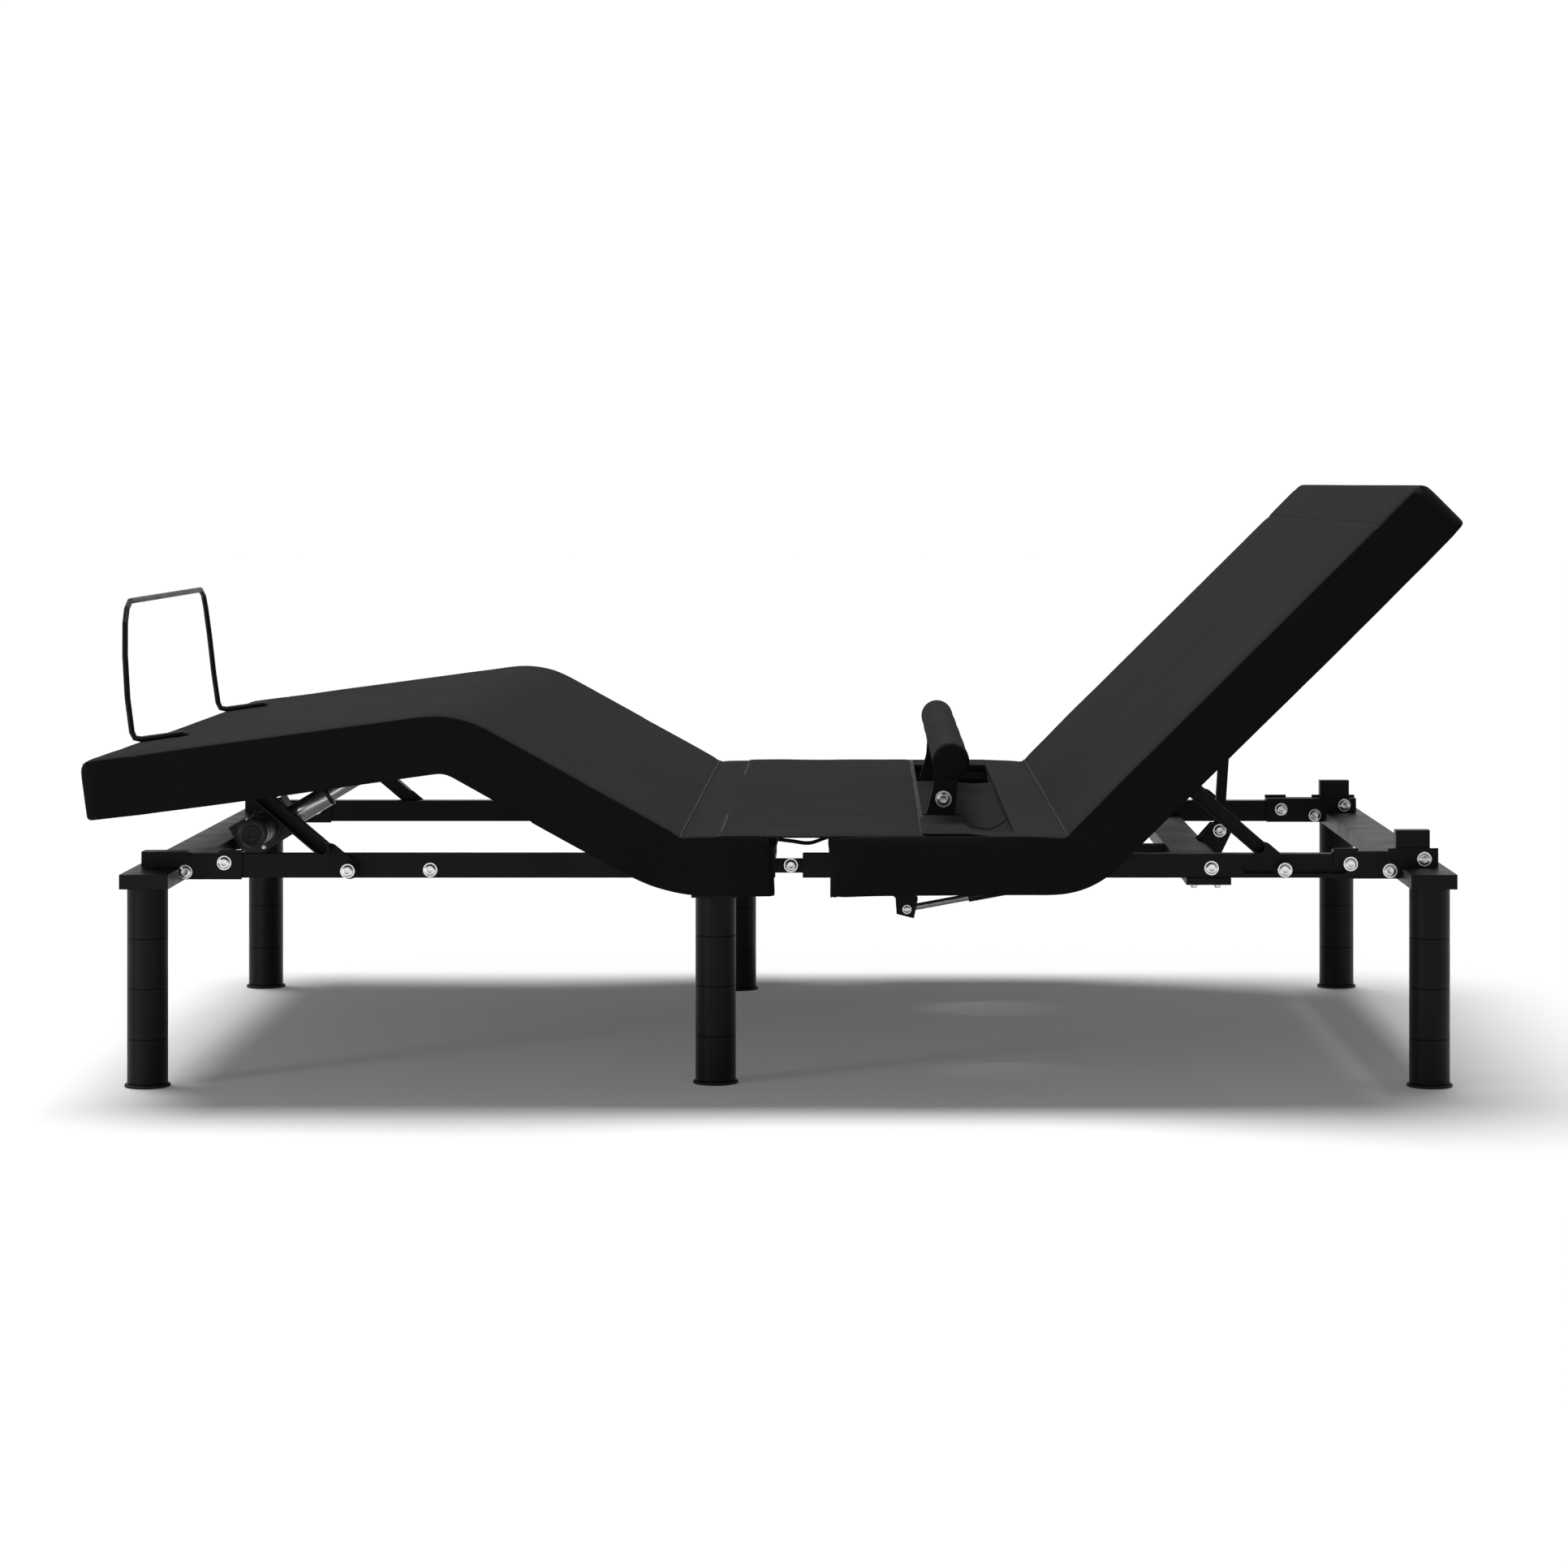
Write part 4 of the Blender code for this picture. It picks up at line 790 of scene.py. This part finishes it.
# ---------------------------------------------------------------- turned pieces
def lathe(profile, sides=40, hollow=False):
    """A turned solid round Z from (radius, height) points: closed at both ends, or a ring."""
    made = bmesh.new()
    if hollow:
        profile = [*profile, profile[0]]
    rings = []
    for radius, height in profile:
        if radius < 1e-6:
            rings.append([made.verts.new((0, 0, height))])
        else:
            turns = [2 * pi * s / sides for s in range(sides)]
            rings.append([made.verts.new((radius * cos(a), radius * sin(a), height)) for a in turns])
    for low, high in zip(rings, rings[1:]):
        for s in range(sides):
            t = (s + 1) % sides
            corners = [ring[turn % len(ring)] for ring, turn in ((low, s), (low, t), (high, t), (high, s))]
            unique = list(dict.fromkeys(corners))
            if len(unique) > 2:
                made.faces.new(unique)
    if hollow:
        bmesh.ops.remove_doubles(made, verts=made.verts, dist=1e-6)
    for ring, flip in ((rings[0], True), (rings[-1], False)):
        if not hollow and len(ring) > 1:
            made.faces.new(list(reversed(ring)) if flip else ring)
    bmesh.ops.recalc_face_normals(made, faces=made.faces)
    return made


def placed(mesh, place, axis):
    """Turns a Z-up mesh so that Z points along the axis, at a place."""
    turn = Vector(axis).to_track_quat("Z", "X").to_matrix().to_4x4()
    mesh.transform(Matrix.Translation(place) @ turn)
    return mesh


def boxed(centre, size):
    """A box as a bmesh."""
    made = bmesh.new()
    matrix = Matrix.Translation(centre) @ Matrix.Diagonal((*size, 1.0))
    bmesh.ops.create_cube(made, size=1.0, matrix=matrix)
    return made


LEGS = {
    "foot": (-0.858, 0.562, 0.2727),
    "middle": (-0.081, 0.530, 0.2584),
    "head": (0.898, 0.562, 0.2727),
}
for end, (x, y, top) in LEGS.items():
    for side, s in (("left", -1), ("right", 1)):
        r = 0.0278
        profile = [(r - 0.0012, 0.0043), (r, 0.0055)]
        for seam in (0.0663, 0.1353, 0.2037):
            profile += [(r, seam - 0.0006), (r - 0.0007, seam), (r, seam + 0.0006)]
        profile += [(r, top - 0.0008), (r - 0.0008, top)]
        leg = piece(f"leg_tube_{end}_{side}", placed(lathe(profile, 56), (x, s * y, 0), (0, 0, 1)),
                    STEEL, "frame", 30)
        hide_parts(f"leg_{end}_{side}")
        foot = [(0.0300, 0.0), (0.0314, 0.0010), (0.0315, 0.0026), (0.0306, 0.0038),
                (0.0280, 0.0040)]
        glide = piece(f"glide_cup_{end}_{side}", placed(lathe(foot, 48), (x, s * y, 0), (0, 0, 1)),
                      RUBBER, "frame", 30)
        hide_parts(f"leg_glide_{end}_{side}")


def bolt(name, place, axis, radius, body, depth=0.0055):
    """A washer and a domed bolt head with a hexagon socket."""
    r = radius
    head = lathe([
        (0.0, 0.0004), (r, 0.0004), (r, 0.0013), (r * 0.97, 0.0016), (r * 0.80, 0.0016),
        (r * 0.80, depth * 0.55), (r * 0.74, depth * 0.82), (r * 0.60, depth * 0.97),
        (r * 0.42, depth), (r * 0.38, depth * 0.97), (r * 0.36, depth * 0.45), (0.0, depth * 0.40),
    ], 36)
    for vertex in head.verts:
        flat = hypot(vertex.co.x, vertex.co.y)
        if 1e-6 < flat < r * 0.385:
            around = (vertex.co.xy.angle_signed(Vector((1, 0))) + 2 * pi) % (pi / 3) - pi / 6
            vertex.co.xy *= cos(pi / 6) / cos(around)
    return piece(name, placed(head, place, axis), ZINC, body, 28)


RAIL_FACE = 0.4942
BRACKET_FACE = 0.4975
BRACKET_INNER_FACE = 0.4655
LINK_FACE = 0.5232
BIG = 0.0102
for side, s in (("near", -1), ("far", 1)):
    for name, x, z in (("side_rail_bolt", -0.478, 0.290), ("member_bolt", 0.605, 0.2925)):
        bolt(f"{name}_{side}", (x, s * RAIL_FACE, z), (0, s, 0), BIG, "frame")
    for name, x, z in (
        ("head_bracket_bolt_a", 0.7975, 0.2985),
        ("head_bracket_bolt_b", 0.852, 0.2890),
        ("head_bracket_bolt_c", 0.8996, 0.3052),
        ("foot_bracket_bolt_a", -0.817, 0.2875),
        ("foot_bracket_bolt_b", -0.763, 0.3000),
    ):
        bolt(f"{name}_{side}", (x, s * BRACKET_FACE, z), (0, s, 0), BIG, "frame")
        bolt(f"{name}_{side}_inner", (x, s * BRACKET_INNER_FACE, z), (0, -s, 0), BIG, "frame")
    word = "left" if s < 0 else "right"
    for name, x, z, link in (
        ("foot_link_bolt", -0.589, 0.291, f"foot_link_{word}"),
        ("strut_bolt", 0.704, 0.2925, f"back_strut_{word}"),
    ):
        bolt(f"{name}_{side}", (x, s * LINK_FACE, z), (0, s, 0), BIG, link)
    bolt(f"fold_bolt_{side}", (0.0215, s * 0.4689, 0.294), (0, s, 0), 0.0100, "frame")
    bolt(f"lumbar_arm_bolt_{side}", (0.236, s * 0.3582, 0.378), (0, s, 0), 0.0118, "lumbar")
crank_face = (LUMBAR_CRANK_PIN[0], LUMBAR_Y - 0.0137, LUMBAR_CRANK_PIN[1])
bolt("lumbar_crank_bolt", crank_face, (0, -1, 0), 0.0068, "lumbar", 0.004)
bolt("support_pivot_bolt", (0.657, -0.0167, 0.3045), (0, -1, 0), 0.0100, "frame")
for number, x in enumerate((0.582, 0.6145)):
    for side, s in (("near", -1), ("far", 1)):
        place = (x, s * 0.482, 0.2693)
        bolt(f"saddle_bolt_{number}_{side}", place, (0, 0, -1), 0.0060, "frame", 0.005)


# ---------------------------------------------------------------- lumbar roller sleeve
def sleeve_profile():
    """Half outline of the sleeve from one flat end to the other, faintly ribbed."""
    r, half, edge = ROLLER_RADIUS, ROLLER_HALF, 0.0048
    rows = [(0.0, -half), (0.012, -half)]
    for a in (0.0, 0.4, 0.8, 1.2, pi / 2):
        rows.append((r - edge + edge * sin(a), -half + edge - edge * cos(a)))
    end = len(rows)
    steps = 46
    for step in range(1, steps):
        y = -half + edge + (2 * half - 2 * edge) * step / steps
        rows.append((r - 0.0003 + 0.0003 * cos(23.0 * y), y))
    rows += [(radius, -y) for radius, y in reversed(rows[:end])]
    return rows


sleeve_mesh = placed(lathe(sleeve_profile(), 48), (ROLLER[0], 0, ROLLER[1]), (0, 1, 0))
sleeve = piece("roller_sleeve", sleeve_mesh, SLEEVE, None, 50)
for s in (-1, 1):
    slot = bpy.data.objects.new("slot", bpy.data.meshes.new("slot"))
    bpy.context.scene.collection.objects.link(slot)
    cutter = boxed((ROLLER[0], s * ARM_Y, 0.4225), (0.060, 0.0090, 0.046))
    cutter.to_mesh(slot.data)
    cutter.free()
    cut = sleeve.modifiers.new("slot", "BOOLEAN")
    cut.operation = "DIFFERENCE"
    cut.solver = "EXACT"
    cut.object = slot
    graph = bpy.context.evaluated_depsgraph_get()
    sleeve.data = bpy.data.meshes.new_from_object(sleeve.evaluated_get(graph))
    sleeve.modifiers.clear()
    bpy.data.objects.remove(slot, do_unlink=True)
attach(sleeve, "lumbar")
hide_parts("lumbar_roller")


# ---------------------------------------------------------------- drives
def on_drive(anchor, y, angle):
    """From a drive's own axes, X along its tube, to the row frame."""
    return Matrix.Translation((anchor[0], y, anchor[1])) @ Matrix.Rotation(-angle, 4, "Y")


def along_tube(profile, matrix, sides=40):
    """A turned solid whose heights run along the drive's tube."""
    mesh = lathe(profile, sides, hollow=True)
    mesh.transform(matrix @ Matrix.Rotation(pi / 2, 4, "Y"))
    return mesh


def dress_drive(name, anchor, y, angle, side, lift, body):
    """The bright tube, its end ring, the motor's flange and cap, and the case's screws."""
    frame_at = on_drive(anchor, y, angle)
    piece(f"{name}_bright_tube", along_tube([
        (0.0149, 0.0812), (0.0156, 0.0812), (0.0159, 0.0818), (0.0159, 0.1362), (0.0156, 0.1368),
        (0.0149, 0.1368),
    ], frame_at, 56), TUBE, body, 30)
    piece(f"{name}_end_ring", along_tube([
        (0.0149, 0.1370), (0.0166, 0.1370), (0.0170, 0.1376), (0.0170, 0.1408), (0.0160, 0.1418),
        (0.0128, 0.1420), (0.0124, 0.1416), (0.0124, 0.1395), (0.0149, 0.1393),
    ], frame_at, 48), PLASTIC, body, 30)
    motor_at = (frame_at @ Matrix.Translation((0.0365, 0, lift * 0.008))
                @ Matrix.Rotation(-side * pi / 2, 4, "X"))
    for part, profile in (
        ("flange", [(0.0216, 0.0303), (0.0250, 0.0303), (0.0260, 0.0310), (0.0260, 0.0350),
                    (0.0252, 0.0358), (0.0216, 0.0360)]),
        ("band", [(0.0216, 0.1180), (0.0221, 0.1184), (0.0221, 0.1216), (0.0216, 0.1220)]),
        ("cap", [(0.0, 0.1453), (0.0216, 0.1453), (0.0219, 0.1460), (0.0219, 0.1500),
                 (0.0210, 0.1512), (0.0172, 0.1520), (0.0160, 0.1516), (0.0118, 0.1512),
                 (0.0108, 0.1522), (0.0070, 0.1522), (0.0060, 0.1512), (0.0, 0.1512)]),
    ):
        mesh = lathe(profile, 48, hollow=part != "cap")
        mesh.transform(motor_at)
        piece(f"{name}_motor_{part}", mesh, PLASTIC, body, 30)
    screws = ((0.074, 0.028), (0.020, 0.030), (0.074, -0.0165), (0.020, -0.0180))
    for number, (x, z) in enumerate(screws):
        place = frame_at @ Vector((x, side * 0.0302, lift * z))
        bolt(f"{name}_case_screw_{number}", place, (0, side, 0), 0.0032, body, 0.0020)


dress_drive("foot_drive", FOOT_DRIVE_ANCHOR, 0.0, FOOT_DRIVE_ANGLE, -1, 1, "foot_drive")
dress_drive("head_drive", HEAD_DRIVE_ANCHOR, HEAD_DRIVE_Y, HEAD_DRIVE_ANGLE, 1, -1, "head_drive")


def lead(name, route, radius, body, steps=8):
    """A thin lead, clipped at both its ends, along a smooth path."""
    ends = [Vector(p) for p in route]
    ends = [2 * ends[0] - ends[1], *ends, 2 * ends[-1] - ends[-2]]
    points = []
    for a, b, c, d in zip(ends, ends[1:], ends[2:], ends[3:]):
        for step in range(steps):
            t = step / steps
            points.append(0.5 * (2 * b + (c - a) * t + (2 * a - 5 * b + 4 * c - d) * t**2
                                 + (3 * b - a - 3 * c + d) * t**3))
    points.append(ends[-2])
    mesh = bmesh.new()
    rings = []
    for number, point in enumerate(points):
        before, after = points[max(number - 1, 0)], points[min(number + 1, len(points) - 1)]
        turn = (after - before).to_track_quat("Z", "Y").to_matrix()
        angles = [pi * s / 4 for s in range(8)]
        rings.append([
            mesh.verts.new(point + turn @ Vector((radius * cos(a), radius * sin(a), 0))) for a in angles
        ])
    joined(mesh, rings)
    bmesh.ops.recalc_face_normals(mesh, faces=mesh.faces)
    return piece(name, mesh, RUBBER, body, 60)


rise = LUMBAR_ANCHOR[1] - LUMBAR_CRANK_PIN[1]
run = LUMBAR_ANCHOR[0] - LUMBAR_CRANK_PIN[0]
lumbar_at = on_drive(LUMBAR_ANCHOR, LUMBAR_Y, pi + atan2(rise, run))
case = boxed((0.0345, 0, -0.006), (0.091, 0.0430, 0.026))
bmesh.ops.bevel(case, geom=case.edges[:], offset=0.004, segments=3, affect="EDGES", profile=0.6)
case.transform(lumbar_at)
case = piece("lumbar_drive_case", case, PLASTIC, "lumbar_drive")
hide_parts("lumbar_actuator_housing")
piece("lumbar_drive_tube", along_tube([
    (0.0056, 0.0805), (0.0072, 0.0805), (0.0074, 0.0812), (0.0074, 0.1480), (0.0070, 0.1490),
    (0.0056, 0.1492),
], lumbar_at, 40), PLASTIC, "lumbar_drive", 30)

drive_at = on_drive(FOOT_DRIVE_ANCHOR, 0.0, FOOT_DRIVE_ANGLE)
lead("foot_drive_lead", [drive_at @ Vector(p) for p in (
    (0.0365, -0.060, 0.0290), (0.046, -0.062, 0.0360), (0.068, -0.055, 0.0385),
    (0.096, -0.040, 0.0355), (0.114, -0.024, 0.0260), (0.124, -0.010, 0.0178),
    (0.134, -0.004, 0.0172),
)], 0.0019, "foot_drive")


# ---------------------------------------------------------------- stitching
def stitch_rows(name, cover, body, flat_line, fold, offsets):
    """Short threads laid on the cover on each side of a seam."""
    tree = BVHTree.FromObject(cover, bpy.context.evaluated_depsgraph_get())
    mesh = bmesh.new()
    pitch, length, thick = 0.0085, 0.0056, 0.00042
    for offset in offsets:
        count = int(2 * 0.735 / pitch)
        for number in range(count):
            y = -0.735 + pitch * (number + 0.5)
            above = Vector(fold((flat_line + offset, y, DECK_TOP + 0.02)))
            below = Vector(fold((flat_line + offset, y, DECK_TOP - 0.01)))
            hit, normal, _, _ = tree.ray_cast(above, (below - above).normalized(), 0.05)
            if hit is None:
                continue
            side = Vector((0, 1, 0))
            wide = side.cross(normal).normalized()
            rings = []
            for t in (-0.5, 0.0, 0.5):
                fat = thick * (0.45 if t else 1.0)
                centre = hit + side * (t * length) + normal * (0.0001 if t else 0.0003)
                rings.append([
                    mesh.verts.new(centre + wide * fat * cos(a) + normal * fat * sin(a))
                    for a in (0.0, 1.3, 2.6, 3.9, 5.2)
                ])
            joined(mesh, rings)
    bmesh.ops.recalc_face_normals(mesh, faces=mesh.faces)
    return piece(name, mesh, THREAD, body, 60)


stitch_rows("head_seam_stitches", back_cover, "back", HEAD_SEAM, back_fold, (-0.0042, 0.0042))
stitch_rows("foot_seam_stitches", foot_cover, "foot", FOOT_SEAM, foot_fold, (-0.0042, 0.0042))

# ---------------------------------------------------------------- floor, light and camera
floor_mesh = bmesh.new()
bmesh.ops.create_grid(floor_mesh, x_segments=8, y_segments=8, size=40.0)
floor_data = bpy.data.meshes.new("floor")
floor_mesh.to_mesh(floor_data)
floor_mesh.free()
floor = bpy.data.objects.new("floor", floor_data)
bpy.context.scene.collection.objects.link(floor)
floor.location.z = -0.0004
paper = bpy.data.materials.new("pale_floor")
paper.use_nodes = True
tree = paper.node_tree
shader = tree.nodes["Principled BSDF"]
shader.inputs["Base Color"].default_value = (0.80, 0.80, 0.80, 1.0)
shader.inputs["Emission Color"].default_value = (1.0, 1.0, 1.0, 1.0)
shader.inputs["Emission Strength"].default_value = 0.095
shader.inputs["Roughness"].default_value = 0.9
shader.inputs["Specular IOR Level"].default_value = 0.0
dim = tree.nodes.new("ShaderNodeBsdfDiffuse")
dim.inputs["Color"].default_value = (0.16, 0.16, 0.16, 1.0)
seen = tree.nodes.new("ShaderNodeLightPath")
mixed = tree.nodes.new("ShaderNodeMixShader")
tree.links.new(seen.outputs["Is Diffuse Ray"], mixed.inputs["Fac"])
tree.links.new(shader.outputs["BSDF"], mixed.inputs[1])
tree.links.new(dim.outputs["BSDF"], mixed.inputs[2])
tree.links.new(mixed.outputs["Shader"], tree.nodes["Material Output"].inputs["Surface"])
floor.data.materials.append(paper)

scene = bpy.context.scene
world = bpy.data.worlds.new("studio")
scene.world = world
world.use_nodes = True
tree = world.node_tree
sky = tree.nodes["Background"]
path = tree.nodes.new("ShaderNodeLightPath")
levels = tree.nodes.new("ShaderNodeMapRange")
levels.inputs["To Min"].default_value = 0.125
levels.inputs["To Max"].default_value = 1.05
tree.links.new(path.outputs["Is Camera Ray"], levels.inputs["Value"])
gloss = tree.nodes.new("ShaderNodeMath")
gloss.operation = "MULTIPLY_ADD"
view = tree.nodes.new("ShaderNodeTexCoord")
parts = tree.nodes.new("ShaderNodeSeparateXYZ")
tree.links.new(view.outputs["Generated"], parts.inputs["Vector"])
behind = tree.nodes.new("ShaderNodeMapRange")
behind.inputs["From Min"].default_value = 0.1
behind.inputs["To Min"].default_value = 0.13
behind.inputs["To Max"].default_value = 0.75
tree.links.new(parts.outputs["Y"], behind.inputs["Value"])
tree.links.new(behind.outputs["Result"], gloss.inputs[1])
tree.links.new(path.outputs["Is Glossy Ray"], gloss.inputs[0])
tree.links.new(levels.outputs["Result"], gloss.inputs[2])
tree.links.new(gloss.outputs["Value"], sky.inputs["Strength"])
sky.inputs["Color"].default_value = (1.0, 1.0, 1.0, 1.0)


def sun(name, direction, strength, angle, shadow=True):
    data = bpy.data.lights.new(name, "SUN")
    data.energy = strength
    data.angle = radians(angle)
    data.use_shadow = shadow
    lamp = bpy.data.objects.new(name, data)
    lamp.rotation_euler = Vector(direction).to_track_quat("-Z", "Y").to_euler()
    scene.collection.objects.link(lamp)


sun("key", (0.12, -0.22, -1.0), 3.3, 34)
sun("front_fill", (0.35, 1.0, -0.35), 0.18, 60, shadow=False)


def softbox(name, place, aim, width, height, energy):
    data = bpy.data.lights.new(name, "AREA")
    data.shape = "RECTANGLE"
    data.size = width
    data.size_y = height
    data.energy = energy
    lamp = bpy.data.objects.new(name, data)
    lamp.location = place
    lamp.rotation_euler = (Vector(aim) - Vector(place)).to_track_quat("-Z", "Y").to_euler()
    scene.collection.objects.link(lamp)


softbox("left_strip", (-3.6, -3.4, 1.0), (0.0, -0.4, 0.3), 0.7, 2.4, 26.0)

camera_data = bpy.data.cameras.new("camera")
camera_data.sensor_width = 36.0
camera_data.lens = 95.3
camera_data.shift_x = -0.0518
camera_data.shift_y = -0.192
camera_data.clip_end = 200.0
camera = bpy.data.objects.new("camera", camera_data)
camera.location = (0.125, -6.248, 0.8263)
camera.rotation_euler = (pi / 2, 0.0, 0.0)
scene.collection.objects.link(camera)
scene.camera = camera
scene.view_settings.view_transform = "Standard"
scene.view_settings.look = "None"
